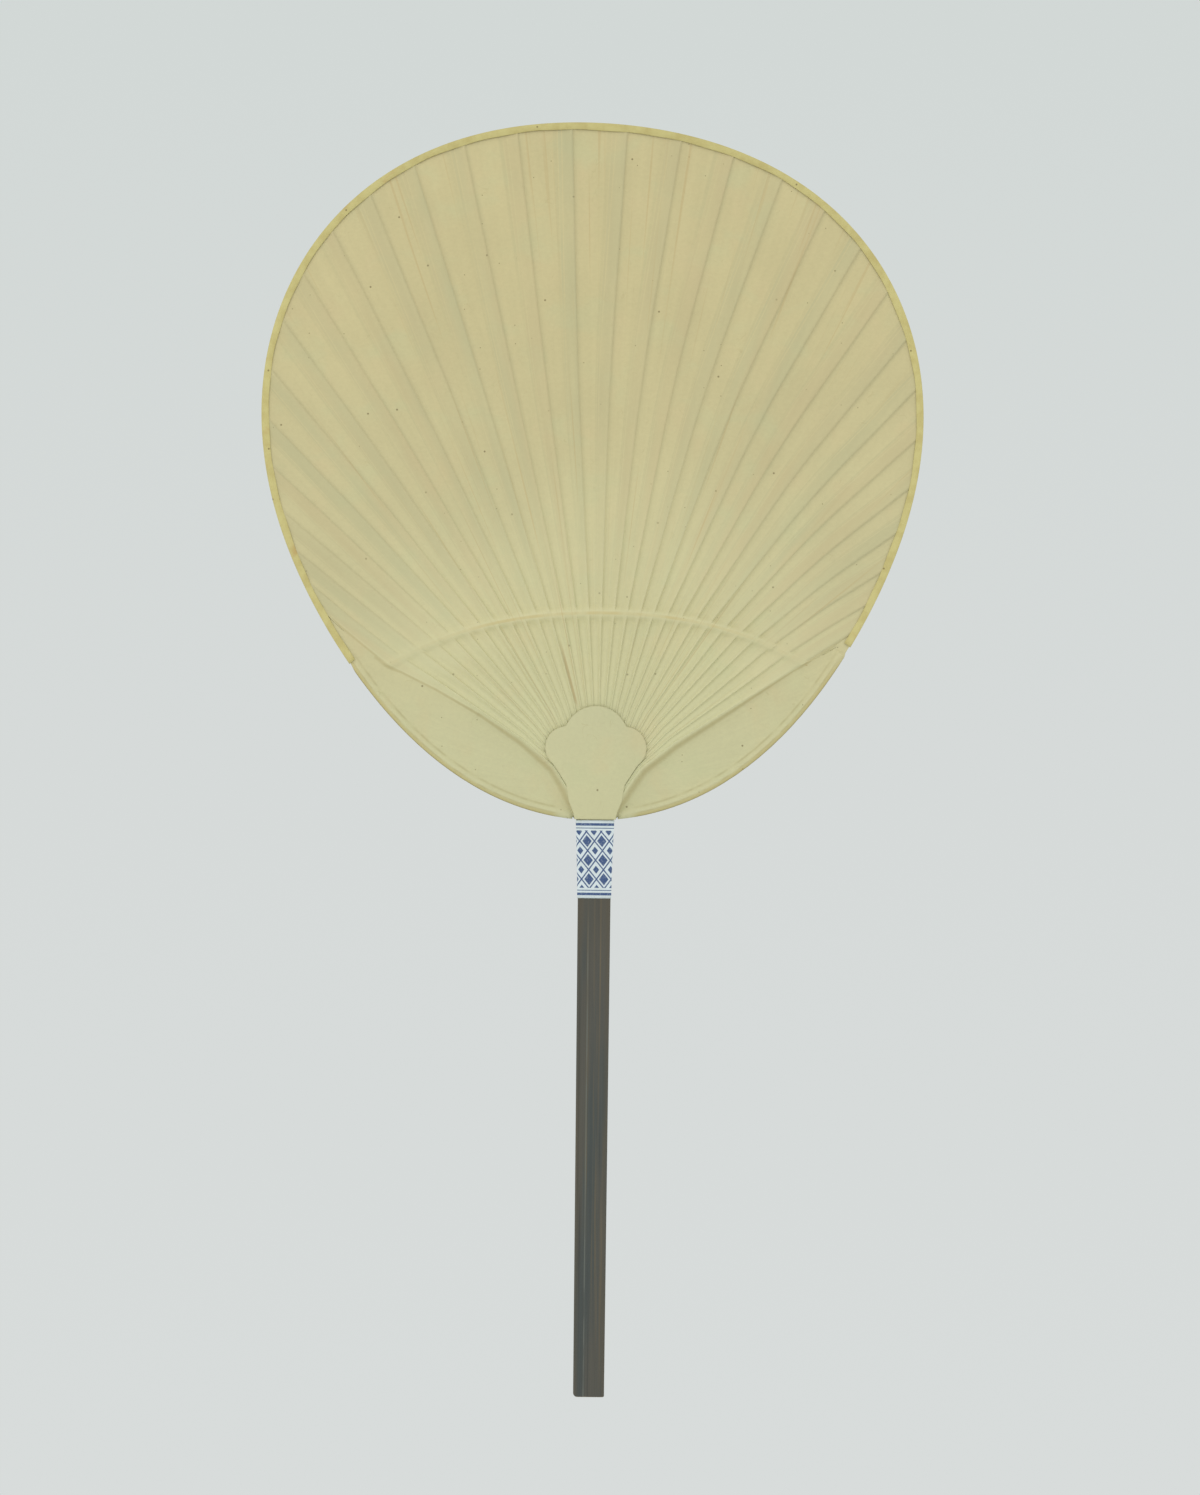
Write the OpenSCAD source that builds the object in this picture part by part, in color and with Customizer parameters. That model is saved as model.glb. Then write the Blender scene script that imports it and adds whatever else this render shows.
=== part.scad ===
// Round hand fan of bamboo and paper. Millimetres, X right, Z up, the front faces -Y.
// The origin is the middle of the handle's butt end.

/* [Head] */
// Mean radius of the head, from its middle to the rim
head_r = 127.8; // [115:0.1:140]
// How much the head is stretched upwards and downwards
head_tall = 3.8; // [0:0.1:8]
// How far the head narrows towards the neck
head_taper = 5.65; // [3:0.05:8]
// How far the head leans to one side
head_lean = 1.05; // [0:0.05:3]
// Hand-made unevenness of the outline
head_uneven = 0.37; // [0:0.01:1]
// Sideways shift of the head's middle from the handle
head_shift = -2.6; // [-5:0.1:5]

/* [Handle] */
// Length of the bare handle, from the butt to the label
grip_len = 188.6; // [120:0.1:220]
// Width of the handle at the butt
butt_w = 11.7; // [10:0.1:14]
// Width of the handle under the label's lower edge
grip_w = 12.4; // [11:0.1:14]
// Width of the strip under the label's upper edge
throat_w = 14.1; // [13:0.1:16]
// Width of the strip where the ribs begin
neck_w = 17.2; // [16:0.1:20]
// Height of the pierced neck above the label
neck_h = 6; // [5.5:0.1:8]
// Thickness of the bamboo strip
strip_t = 5.2; // [4.8:0.1:6]
// Radius of the rounded skin side of the bamboo
skin_r = 120; // [80:1:200]
// Bevel along the four long edges of the handle
edge_bevel = 0.7; // [0.3:0.05:1]
// Corner radius of the butt on the left
butt_round = 1.5; // [0.5:0.1:3]

/* [Ribs] */
// Number of ribs split from the strip
rib_n = 29; // [23:2:33]
// Face width of a rib over most of its length
rib_w = 5; // [4.4:0.1:5.4]
// Face width of a rib at its tip
rib_tip_w = 4.4; // [3.5:0.1:5]
// Thickness of a rib at its tip
rib_tip_t = 0.3; // [0.2:0.05:0.5]
// Width of the slit between ribs at the neck
slit_w = 0.15; // [0.1:0.01:0.2]
// Distance from the rim to the rib tips
rib_inset = 2.2; // [1.5:0.1:4]
// Least slope of a rib's face to the fan's plane
rib_flat = 4; // [2:0.5:8]
// Angle of the outermost ribs from the middle, where they are laced
fan_half = 57.1; // [52:0.1:60]
// Turn of the whole fan of ribs
fan_turn = -0.85; // [-3:0.05:3]
// Height of the point that the ribs spread from, above the neck
spread_rise = 5.4; // [4:0.1:8]
// Sideways shift of that point
spread_shift = 0.6; // [-2:0.1:2]

/* [Bow] */
// Diameter of the bow in the neck
bow_d = 3; // [2.4:0.1:3.4]
// Diameter of the bow at its tips
bow_tip_d = 2; // [1.6:0.1:2.6]
// Distance from the rim to the bow's centre line
bow_inset = 2.1; // [2:0.05:2.4]
// Angle of the left tip of the bow, from the top of the head
bow_left = -133.5; // [-140:0.5:-130]
// Angle of the right tip of the bow, from the top of the head
bow_right = 128.2; // [126:0.1:138]
// Room around the bow in the neck's hole
bow_room = 0.1; // [0.05:0.05:0.3]

/* [Thread] */
// Diameter of the weaving thread
thread_d = 0.5; // [0.4:0.05:0.7]
// Radius of the laced arc on the middle ribs, from the spreading point
lace_r = 67; // [55:0.5:80]
// How much further out the arc is on the outermost ribs
lace_rise = 23.4; // [10:0.1:30]
// Turns of thread around each bow tip
lash_n = 3; // [2:1:4]

/* [Paper] */
// Thickness of the front and back papers
paper_t = 0.2; // [0.15:0.01:0.3]
// Width of the tape that is folded over the rim
tape_w = 3; // [2:0.1:5]
// Thickness of the tape
tape_t = 0.15; // [0.1:0.01:0.25]
// Distance from the rim to the papers' edge inside the tape
tape_fold = 0.5; // [0.4:0.05:1]
// Height of the label band
label_h = 29.5; // [20:0.1:40]
// Thickness of the label band
label_t = 0.2; // [0.15:0.01:0.3]
// Thickness of the neck patches
patch_t = 0.2; // [0.15:0.01:0.3]
// Radius of the patch's upper lobe
patch_top_r = 12.2; // [10:0.1:14]
// Radius of the patch's side lobes
patch_side_r = 8; // [6:0.1:9]
// Height of the patch above the label
patch_h = 43.2; // [38:0.1:50]
// Clearance between layers that lie on each other
layer_gap = 0.05; // [0.03:0.01:0.07]

/* [Hidden] */
$fn = 96;

// Heights along the strip
label_top = grip_len + label_h;
neck_top = label_top + neck_h;
spread_z = neck_top + spread_rise;

// Small fixed proportions of the construction
rib_last = (rib_n - 1) / 2;        // number of the outermost rib on either side
rib_bend = 34;                     // distance over which ribs turn from upright to their ray
root_depth = 1.5;                  // how deep a rib runs into the neck
root_w = strip_t - 0.9;            // face width of a rib at its root
skin_facets = 8;                   // narrow facets across the rounded skin
rib_fill = 0.86;                   // share of the spacing that a rib covers, seen from the front
rib_t = neck_w / rib_n - slit_w;   // thickness of a rib at the neck
lace_half = 2.5;                   // half width of the ridge that the thread raises in the paper
drop_w = 1.6;                      // width of the slope beside the outermost ribs
bow_cover = 1.8;                   // half height of the paper's ridge over the bow
tip_gap = 2.2;                     // angle between a bow tip and the end of the tape
rim_half = 56.3;                   // angle of the outermost ribs at the rim
rim_even = 57.5;                   // how evenly the ribs are spread at the rim, as an angle of a sine
rim_turn = 0.45;                   // turn of the ribs at the rim
rim_shift = 1.1;                   // extra turn of the middle ribs at the rim
lash_pitch = 1.2 * thread_d;       // advance of the thread per turn round a bow tip
shoulder = 0.42;                   // share of the paper's ridge over the bow at its shoulders
edge_gap = 0.2;                    // space between the label and the papers' lower edge
edge_swell = 0.9;                  // upward swell of that edge beside the strip
patch_gap = 0.25;                  // room under the neck patches
tape_round = 0.25;                 // depth of the tape's rounded fold

// Outline of the head: radius at an angle from the top, positive to the right
function outline_r(a) = head_r + head_tall * cos(2 * a) - head_lean * sin(2 * a)
    - head_taper * cos(3 * a) + head_uneven * (cos(4 * a) - sin(4 * a) - cos(5 * a));
head_z = label_top + outline_r(180);
function rim_point(a, inset) =
    [head_shift + (outline_r(a) - inset) * sin(a), head_z + (outline_r(a) - inset) * cos(a)];
function head_angle(p) = atan2(p[0] - head_shift, p[1] - head_z);
function is_inside(p, inset) =
    norm([p[0] - head_shift, p[1] - head_z]) < outline_r(head_angle(p)) - inset;

// Mixes two values or points
function mix(a, b, share) = a * (1 - share) + b * share;

// Ribs: rays from the spreading point, which turn a little between the lacing and the rim
function lace_angle(k) = fan_turn + fan_half * k / rib_last;
function rim_angle(k) = rim_turn + rim_shift * (1 - pow(k / rib_last, 2))
    + rim_half * sin(rim_even * k / rib_last) / sin(rim_even);
function ray_point(angle, r) = [spread_shift + r * sin(angle), spread_z + r * cos(angle)];
function reach(angle, inset, near, far, steps) = steps == 0 ? near :
    let (half = (near + far) / 2)
    is_inside(ray_point(angle, half), inset) ? reach(angle, inset, half, far, steps - 1)
                                             : reach(angle, inset, near, half, steps - 1);
// Distance from the spreading point to the papers' edge, for every half step across the ribs
rim_reaches = [for (k = [-rib_last - 1:0.5:rib_last + 1]) reach(rim_angle(k), tape_fold, lace_r, 3 * head_r, 24)];
function rim_reach(k) =
    let (step = 2 * (k + rib_last + 1), i = min(floor(step), len(rim_reaches) - 2))
    mix(rim_reaches[i], rim_reaches[i + 1], step - i);
function lace_reach(k) = lace_r + lace_rise * pow(k / rib_last, 2);

// Point on rib k at a distance r past the lacing or before it, for a rib that ends at r_end
function rib_ray(k, r, r_end) =
    let (past = max(0, (r - lace_reach(k)) / (r_end - lace_reach(k))))
    ray_point(mix(lace_angle(k), rim_angle(k), past), r);

// The bend between the neck and the ray is a cubic curve
function bend_point(k, t) =
    let (x = neck_w * k / rib_n,
         a = [x, neck_top],
         b = [1.35 * x, neck_top + 5],
         c = ray_point(lace_angle(k), 0.4 * rib_bend),
         d = ray_point(lace_angle(k), rib_bend))
    a * pow(1 - t, 3) + 3 * b * t * pow(1 - t, 2) + 3 * c * t * t * (1 - t) + d * pow(t, 3);

// Stations along a rib. The papers add a row at each side of the lacing and one under the label.
ROOT = 0;
TOP = 1;
BEND = 4;
LACED = 7;
TIP = 9;
function rib_point(k, i, short = 0) =
    let (r_end = rim_reach(k), r_lace = lace_reach(k))
    i == ROOT ? [neck_w * k / rib_n, neck_top - root_depth] :
    i <= 4 ? bend_point(k, (i - TOP) / 3) :
    i <= LACED ? rib_ray(k, mix(rib_bend, r_lace, (i - 4) / 3), r_end) :
    i < TIP ? rib_ray(k, (r_lace + r_end) / 2, r_end) : rib_ray(k, r_end - short, r_end);

function unit(v) = v / norm(v);
// Direction to a rib's right, and the free spacing there
function rib_right(k, i) =
    let (a = rib_point(k, max(i - 1, ROOT)),
         b = rib_point(k, min(i + 1, TIP)),
         along = unit(b - a))
    [along[1], -along[0]];
function rib_spacing(k, i) = (rib_point(k + 0.5, i) - rib_point(k - 0.5, i)) * rib_right(k, i);
function rib_width(i) = i <= TOP ? root_w : i <= LACED ? rib_w : i == TIP ? rib_tip_w : (rib_w + rib_tip_w) / 2;
function rib_thick(i) = i <= LACED ? rib_t : i == TIP ? rib_tip_t : (rib_t + rib_tip_t) / 2;
// A rib stands on edge where its neighbours are close, and lies flatter as they spread
function rib_slope(k, i) = i <= TOP ? 90 :
    max(rib_flat, acos(min(1, rib_fill * rib_spacing(k, i) / rib_width(i))));

// Point beside a rib by a distance u to the right. Past the bend it follows the row of stations across the ribs.
function beside(k, i, u, short = 0) = i > BEND ? rib_point(k + u / rib_spacing(k, i), i, short) :
    rib_point(k, i) + u * rib_right(k, i);

// Closed skin over rings of equal length, from the first ring to the last. A hollow section's ends are closed by
// tiles: lists of its point numbers. On the sides in leans, the facets' diagonal runs the other way.
module skin(rings, tiles = [], leans = []) {
    m = len(rings[0]);
    n = len(rings);
    ends = len(tiles) > 0 ? tiles : [[for (j = [0:m - 1]) j]];
    points = [for (ring = rings) each ring];
    sides = [for (i = [0:n - 2], j = [0:m - 1])
        let (a = i * m + j, b = i * m + (j + 1) % m)
        each len(search(j, leans)) > 0 ? [[a, a + m, b], [b, a + m, b + m]]
                                       : [[a, a + m, b + m], [a, b + m, b]]];
    last = [for (tile = ends) [for (i = [len(tile) - 1:-1:0]) (n - 1) * m + tile[i]]];
    polyhedron(points, concat(sides, ends, last), convexity = 10);
}

// One rib: rectangular section, right edge raised to the front. Its twisted faces have a point in the middle, and
// their diagonals run alike in front and behind, so that the rib keeps its thickness.
module rib(k) {
    rings = [for (i = [ROOT:TIP])
        let (slope = rib_slope(k, i),
             w = rib_width(i) / 2,
             t = rib_thick(i) / 2)
        [for (corner = [[-1, -1], [0, -1], [1, -1], [1, 1], [0, 1], [-1, 1]])
            let (u = corner[0] * w * cos(slope) + corner[1] * t * sin(slope),
                 h = corner[0] * w * sin(slope) - corner[1] * t * cos(slope),
                 q = beside(k, i, u, rib_inset - tape_fold))
            [q[0], -h, q[1]]]];
    skin(rings, leans = [0, 3]);
}

// Half width of the strip at a height, and its front outline between two heights
function strip_half(z) =
    z <= grip_len ? mix(butt_w, grip_w, z / grip_len) / 2 :
    z <= label_top ? mix(grip_w, throat_w, pow((z - grip_len) / label_h, 1.5)) / 2 :
    mix(throat_w, neck_w, pow((z - label_top) / neck_h, 1.3)) / 2;
module strip_outline(low, high, grow) {
    bends = [grip_len, for (share = [0.25, 0.5, 0.75]) grip_len + share * label_h, label_top, neck_top - neck_h / 2];
    heights = [low, for (z = bends) if (z > low && z < high) z, high];
    last = len(heights) - 1;
    right = [for (z = heights) [strip_half(z) + grow, z]];
    left = [for (i = [last:-1:0]) [-strip_half(heights[i]) - grow, heights[i]]];
    polygon(concat(right, left));
}

// The strip between two heights, grown all round: skin in front, rounded in narrow facets, and flat behind
module strip(low, high, grow) {
    t = strip_t + 2 * grow;
    skin_line = [for (i = [-skin_facets / 2:skin_facets / 2])
        let (x = 1.2 * neck_w * i / skin_facets)
        [x, x * x / (2 * skin_r) - t / 2]];
    intersection() {
        rotate([90, 0, 0]) linear_extrude(t + 2, center = true) strip_outline(low, high, grow);
        translate([0, 0, low]) linear_extrude(high - low)
            polygon(concat(skin_line, [[0.6 * neck_w, t / 2], [-0.6 * neck_w, t / 2]]));
    }
}

// Cutters for the handle: bevels along its edges and rounded butt corners
module edge_cut(back) {
    lean = atan((grip_w - butt_w) / 2 / grip_len);
    skin_drop = back ? 0 : pow(butt_w / 2, 2) / (2 * skin_r);
    translate([butt_w / 2, (back ? 1 : -1) * (strip_t / 2 - skin_drop), 0])
        rotate([0, lean, 0]) rotate([0, 0, 45])
        cube([edge_bevel * sqrt(2), edge_bevel * sqrt(2), 2 * grip_len], center = true);
}
module butt_cut(r) {
    rotate([90, 0, 0]) linear_extrude(2 * strip_t, center = true) difference() {
        translate([-1, -1]) square(r + 1);
        translate([r, r]) circle(r);
    }
}

// Centre line of the bow and its radius. The angle runs down the left side, through the neck and up the right.
bow_end = bow_right - 360;
bow_neck = -180 - asin(head_shift / outline_r(180));
function bow_point(a) = rim_point(a, bow_inset);
function bow_r(a) =
    let (away = a > bow_neck ? (a - bow_neck) / (bow_left - bow_neck)
                             : (bow_neck - a) / (bow_neck - bow_end))
    mix(bow_d, bow_tip_d, away * away) / 2;
// The hole is wider than the bow by the bow's rise across the neck
hole_rise = pow(neck_w / 2, 2) / (2 * outline_r(180));
hole_r = bow_d / 2 + hole_rise + bow_room;

module bamboo_handle_and_ribs() {
    color([0.33, 0.33, 0.29]) difference() {
        union() {
            strip(0, neck_top, 0);
            for (k = [-rib_last:rib_last]) rib(k);
        }
        translate([0, 0, bow_point(bow_neck)[1] + hole_rise])
            rotate([0, 90, 0]) cylinder(h = 2 * neck_w, r = hole_r, center = true);
        for (x = [0, 1], back = [false, true]) mirror([x, 0, 0]) edge_cut(back);
        translate([-butt_w / 2, 0, 0]) butt_cut(butt_round);
        mirror([1, 0, 0]) translate([-butt_w / 2, 0, 0]) butt_cut(butt_round / 3);
    }
}

module bow() {
    rings = 42;
    sides = 8;
    color([0.5, 0.45, 0.3]) skin([for (i = [0:rings])
        let (a = mix(bow_left, bow_end, i / rings),
             p = bow_point(a),
             out = unit(p - [head_shift, head_z]),
             r = bow_r(a))
        [for (j = [0:sides - 1])
            let (turn = (j + 0.5) * 360 / sides, q = p + out * r * cos(turn))
            [q[0], r * sin(turn), q[1]]]]);
}

// Half height that a rib stands out of the fan's plane, on the edge that is raised
function rib_rise(k, i) =
    let (slope = rib_slope(k, i))
    (rib_width(i) * sin(slope) + rib_thick(i) * cos(slope)) / 2;
function lace_out(k) = rib_rise(k, LACED) + thread_d / 2 + 2 * layer_gap;

// The thread passes from face to face in each gap between two ribs, and rises over every other rib
function lace_spot(k, u, y) =
    let (p = beside(k, LACED, u))
    [p[0], y, p[1]];
function gap_spot(k, face) =
    let (slant = 0.25,
         out = max(lace_out(k), lace_out(k + 1)),
         half = rib_spacing(k + 0.5, LACED) / 2)
    lace_spot(k + 0.5, face * slant, -face * out);
function rib_edge(k, i) =
    let (slope = rib_slope(k, i))
    (rib_width(i) * cos(slope) + rib_thick(i) * sin(slope)) / 2;

// Rows of the papers: a station of the ribs, and a distance past it
ROWS = [[ROOT, 0], [TOP, 0], [2, 0], [3, 0], [4, 0], [5, 0], [6, 0], [LACED, -lace_half], [LACED, 0],
        [LACED, lace_half], [8, 0], [TIP, 0]];
LACE_ROW = 8;
BOW_ROW = 9;
RIM_ROW = len(ROWS) - 1;

// Angle on the rim where a row of the papers ends, on the left (side -1) or the right (side 1)
function row_angle(side, row) =
    let (tip = side < 0 ? bow_left : bow_right,
         low = head_angle([side * (throat_w / 2 + 2.4), label_top]),
         laced = lace_reach(rib_last),
         out = [0, 3, rib_bend / 3, 2 * rib_bend / 3, rib_bend, mix(rib_bend, laced, 1 / 3),
                mix(rib_bend, laced, 2 / 3), laced - lace_half, laced, laced + lace_half])
    row <= BOW_ROW ? mix(low, tip, out[row] / out[BOW_ROW]) :
    row < RIM_ROW ? tip - side * tip_gap :
    head_angle(rib_point(side * rib_last, TIP)) + side * 1.5;

module weaving_thread() {
    r = thread_d / 2;
    turns = 8 * lash_n;
    // Turns round a bow tip, wound from the tip inwards, ending on the side of the ribs
    function lashing(side) =
        let (start = row_angle(side, LACE_ROW), wind = lash_pitch / head_r * 180 / PI)
        [for (j = [0:turns])
            let (a = start + side * (turns - j) / 8 * wind,
                 p = bow_point(a),
                 inward = -unit(p - [head_shift, head_z]),
                 out = bow_r(side < 0 ? a : a - 360) + r + 2 * layer_gap,
                 turn = 45 * j,
                 q = p + inward * out * cos(turn))
            [q[0], out * sin(turn), q[1]]];
    function end_ramp(side) =
        let (u = rib_edge(rib_last, LACED))
        [lace_spot(side * rib_last, side * (u + drop_w), 0),
         lace_spot(side * rib_last, side * (u - 0.1), -lace_out(rib_last))];
    function reversed(list) = [for (i = [len(list) - 1:-1:0]) list[i]];
    path = concat(lashing(-1), end_ramp(-1),
        [for (k = [-rib_last:rib_last - 1])
            let (face = (k + rib_last) % 2 == 0 ? 1 : -1)
            each [gap_spot(k, face), gap_spot(k, -face)]],
        reversed(end_ramp(1)), reversed(lashing(1)));
    color([0.66, 0.58, 0.33]) tube(path, r, 6);
}

// Tube of a radius along a path, with its rings carried on without twist
module tube(path, r, sides) {
    n = len(path);
    function heading(i) = unit(path[min(i + 1, n - 1)] - path[max(i - 1, 0)]);
    function square_to(v, h) = unit(v - h * (v * h));
    normals = [for (i = 0, v = square_to([0, 1, 0.3], heading(0)); i < n;
        i = i + 1, v = i < n ? square_to(v, heading(i)) : v) v];
    skin([for (i = [0:n - 1])
        let (a = normals[i], b = cross(heading(i), a))
        [for (j = [0:sides - 1]) path[i] + r * (cos(j * 360 / sides) * a + sin(j * 360 / sides) * b)]]);
}

// Point on a row of a paper, beside rib k by a distance u to the right
function row_point(k, row, u) =
    let (i = ROWS[row][0], past = ROWS[row][1])
    row == 0 ? [throat_w * k / rib_n + u, label_top + edge_gap] :
    past == 0 ? beside(k, i, u) :
    let (lane = k + u / rib_spacing(k, i))
    rib_ray(lane, lace_reach(lane) + past, rim_reach(lane));

// The paper beside one rib, as seen from its own face: sideways place and height of each column.
// FACE is the middle of the rib, RIDGE its raised edge, VALLEY the gap after it, and SIDE the gap before it.
FACE = 0;
RIDGE = 1;
VALLEY = 2;
SIDE = 3;
function relief(k, row, column) =
    let (i = max(ROWS[row][0], TOP),
         slope = rib_slope(k, i),
         space = rib_spacing(k, i),
         w = rib_width(i) / 2,
         t = rib_thick(i) / 2,
         rise = rib_rise(k, i),
         edge = rib_edge(k, i),
         loose = space - neck_w / rib_n,
         face = max(min(t / max(cos(slope), 0.01), rise), rise - 0.3 * loose) + layer_gap,
         near = max(edge - 2 * t * sin(slope), 0.3 * edge),
         ridge = face + (rise + layer_gap - face) * edge / near,
         u = column == FACE ? 0 : column == RIDGE ? edge :
             column == VALLEY ? edge + min(0.5, (space - edge) / 2) : -edge,
         h = column == FACE ? face : column == RIDGE ? ridge :
             column == VALLEY ? max(layer_gap, rise - 0.55 * loose) : max(layer_gap, face - 2 * edge))
    row <= TOP ? [column == SIDE ? -0.2 : row == 0 ? u / 2 : u, strip_t / 2 + layer_gap] :
    row == LACE_ROW ? [u, rise + thread_d + 0.4] :
    column == VALLEY && ROWS[row][1] != 0 ? [u, max(h, 0.6 * rise)] : [u, h];

// The paper beyond the outermost ribs, out to the rim: slope, flat, and the ridge over the bow
function beyond(side, k, row, edge_u) =
    let (a = row_angle(side, row),
         from = row_point(k, row, edge_u),
         drop = row_point(k, row, edge_u + side * drop_w),
         fold = row > BOW_ROW ? tape_fold : 0,
         to = rim_point(a, fold),
         low = row == LACE_ROW ? thread_d / 2 + 0.1 : layer_gap,
         cover = row <= BOW_ROW ? bow_cover : layer_gap,
         insets = [bow_inset + bow_cover + 0.3, bow_inset + bow_cover, bow_inset + shoulder * bow_cover,
                   bow_inset - shoulder * bow_cover, bow_inset - bow_cover],
         heights = row <= TOP ? [cover + 0.2, cover + 0.1, cover, cover, shoulder * cover] :
                   row <= BOW_ROW ? [low, shoulder * cover, cover, cover, shoulder * cover] :
                   [low, low, low, low, low])
    row == 0 ?
        [for (j = [0:6]) let (share = (j + 1) / 7, q = mix(from, to, share))
            [q[0], j == 6 ? layer_gap : j == 5 ? cover / 2 : mix(strip_t / 2, cover, j / 4),
             q[1] + edge_swell * sin(180 * share)]] :
    row == RIM_ROW ?
        [for (j = [0:6]) let (q = mix(from, to, (j + 1) / 7)) [q[0], layer_gap, q[1]]] :
        [[drop[0], row == TOP ? strip_t / 2 - 0.4 : low, drop[1]],
         for (j = [0:4]) let (q = rim_point(a, max(insets[j], fold + 0.05))) [q[0], heights[j], q[1]],
         [to[0], layer_gap, to[1]]];

// One row of a paper across the head. For the front it runs from left to right, for the back from right to left.
function paper_row(face, row, lift) =
    let (first = -face * rib_last,
         start = beyond(-face, first, row, -face * rib_edge(rib_last, max(ROWS[row][0], TOP))),
         end = beyond(face, -first, row, face * rib_edge(rib_last, max(ROWS[row][0], TOP))),
         ribs = [for (n = [0:rib_n - 1], column = [FACE, RIDGE, VALLEY])
             if (n < rib_n - 1 || column != VALLEY)
             let (k = first + face * n, spot = relief(k, row, column), q = row_point(k, row, face * spot[0]))
             [q[0], spot[1], q[1]]],
         side_spot = relief(first, row, SIDE),
         side_point = row_point(first, row, face * side_spot[0]))
    [for (q = concat([for (j = [6:-1:0]) start[j]], [[side_point[0], side_spot[1], side_point[1]]], ribs, end))
        [q[0], -face * (q[1] + lift), q[2]]];

// A sheet between two surfaces of the same rows: under side first
module sheet(under, over) {
    rows = len(under);
    cols = len(under[0]);
    half = rows * cols;
    points = concat([for (row = under) each row], [for (row = over) each row]);
    // Each cell is folded along its higher diagonal, so the sheet bulges outwards over what it covers
    cells = [for (i = [0:rows - 2], j = [0:cols - 2])
        let (a = i * cols + j,
             b = a + cols,
             rising = abs(under[i][j][1] + under[i + 1][j + 1][1]) > abs(under[i][j + 1][1] + under[i + 1][j][1]))
        each rising ? [[a, b + 1, b], [a, a + 1, b + 1], [half + a, half + b, half + b + 1],
                       [half + a, half + b + 1, half + a + 1]] :
                      [[a, a + 1, b], [a + 1, b + 1, b], [half + a, half + b, half + a + 1],
                       [half + a + 1, half + b, half + b + 1]]];
    rim = concat([for (j = [0:cols - 1]) j],
                 [for (i = [1:rows - 1]) i * cols + cols - 1],
                 [for (j = [cols - 2:-1:0]) (rows - 1) * cols + j],
                 [for (i = [rows - 2:-1:1]) i * cols]);
    walls = [for (n = [0:len(rim) - 1])
        let (a = rim[n], b = rim[(n + 1) % len(rim)])
        each [[a, half + b, b], [a, half + a, half + b]]];
    polyhedron(points, concat(cells, walls), convexity = 10);
}
module paper(face) {
    sheet([for (row = [0:RIM_ROW]) paper_row(face, row, 0)], [for (row = [0:RIM_ROW]) paper_row(face, row, paper_t)]);
}
module front_paper() {
    color([0.77, 0.74, 0.58]) paper(1);
}
module back_paper() {
    color([0.77, 0.74, 0.58]) paper(-1);
}

// Tape folded over the rim, from bow tip to bow tip over the top
module rim_tape() {
    rings = 46;
    gap = rib_tip_w * sin(rib_flat) / 2 + rib_tip_t / 2 + paper_t + 4 * layer_gap;
    out = gap + tape_t;
    section = [[tape_w, out], [tape_round, out], [0, gap - 0.1], [0, 0.1 - gap], [tape_round, -out], [tape_w, -out],
               [tape_w, -gap], [1.2 * tape_t, -gap], [1.2 * tape_t, gap], [tape_w, gap]];
    tiles = [[0, 1, 8, 9], [1, 2, 8], [2, 3, 7, 8], [3, 4, 7], [4, 5, 6, 7]];
    color([0.77, 0.72, 0.49]) skin([for (i = [0:rings])
        let (a = mix(bow_left + tip_gap, bow_right - tip_gap, i / rings))
        [for (s = section) let (q = rim_point(a, s[0])) [q[0], s[1], q[1]]]], tiles);
}

// Cloud-shaped patch over the neck: three lobes on a stem that follows the neck
module neck_patch(face) {
    lobe_z = spread_z + 2 * patch_side_r;
    top_z = label_top + patch_h - patch_top_r;
    seat = strip_t / 2 + paper_t + patch_gap;
    // Right edge of the stem, from the label up to the side lobe
    stem = [[throat_w / 2 + 0.9, label_top + edge_gap], [neck_w / 2 + 1.4, neck_top + 1],
            [neck_w / 2 + 2.5, spread_z + 2], [neck_w / 2 + 0.8 * patch_side_r, lobe_z - 0.9 * patch_side_r],
            [0, top_z]];
    translate([0, -face * (seat + patch_t / 2), 0]) rotate([90, 0, 0]) linear_extrude(patch_t, center = true) {
        translate([0, top_z]) circle(patch_top_r);
        for (x = [-1, 1]) translate([x * (neck_w / 2 + 2.6), lobe_z]) circle(patch_side_r);
        polygon(concat(stem, [for (i = [len(stem) - 2:-1:0]) [-stem[i][0], stem[i][1]]]));
    }
}
module neck_patch_front() {
    color([0.79, 0.78, 0.63]) neck_patch(1);
}
module neck_patch_back() {
    color([0.79, 0.78, 0.63]) neck_patch(-1);
}

// Paper band round the top of the handle
module label_band() {
    color([0.85, 0.89, 0.9]) difference() {
        strip(grip_len, label_top, layer_gap + label_t);
        strip(grip_len - 1, label_top + 1, layer_gap);
    }
}

bamboo_handle_and_ribs();
bow();
weaving_thread();
front_paper();
back_paper();
rim_tape();
neck_patch_front();
neck_patch_back();
label_band();
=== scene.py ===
"""Round hand fan of bamboo and paper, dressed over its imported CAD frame.

Sizes are in millimetres and turn into metres where a mesh is made. X is right, Z is up, the front faces -Y
and the origin is the middle of the handle's butt end, as in the frame.
"""
import math

import bmesh
import bpy
import numpy as np
from mathutils import Matrix, Vector


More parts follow.
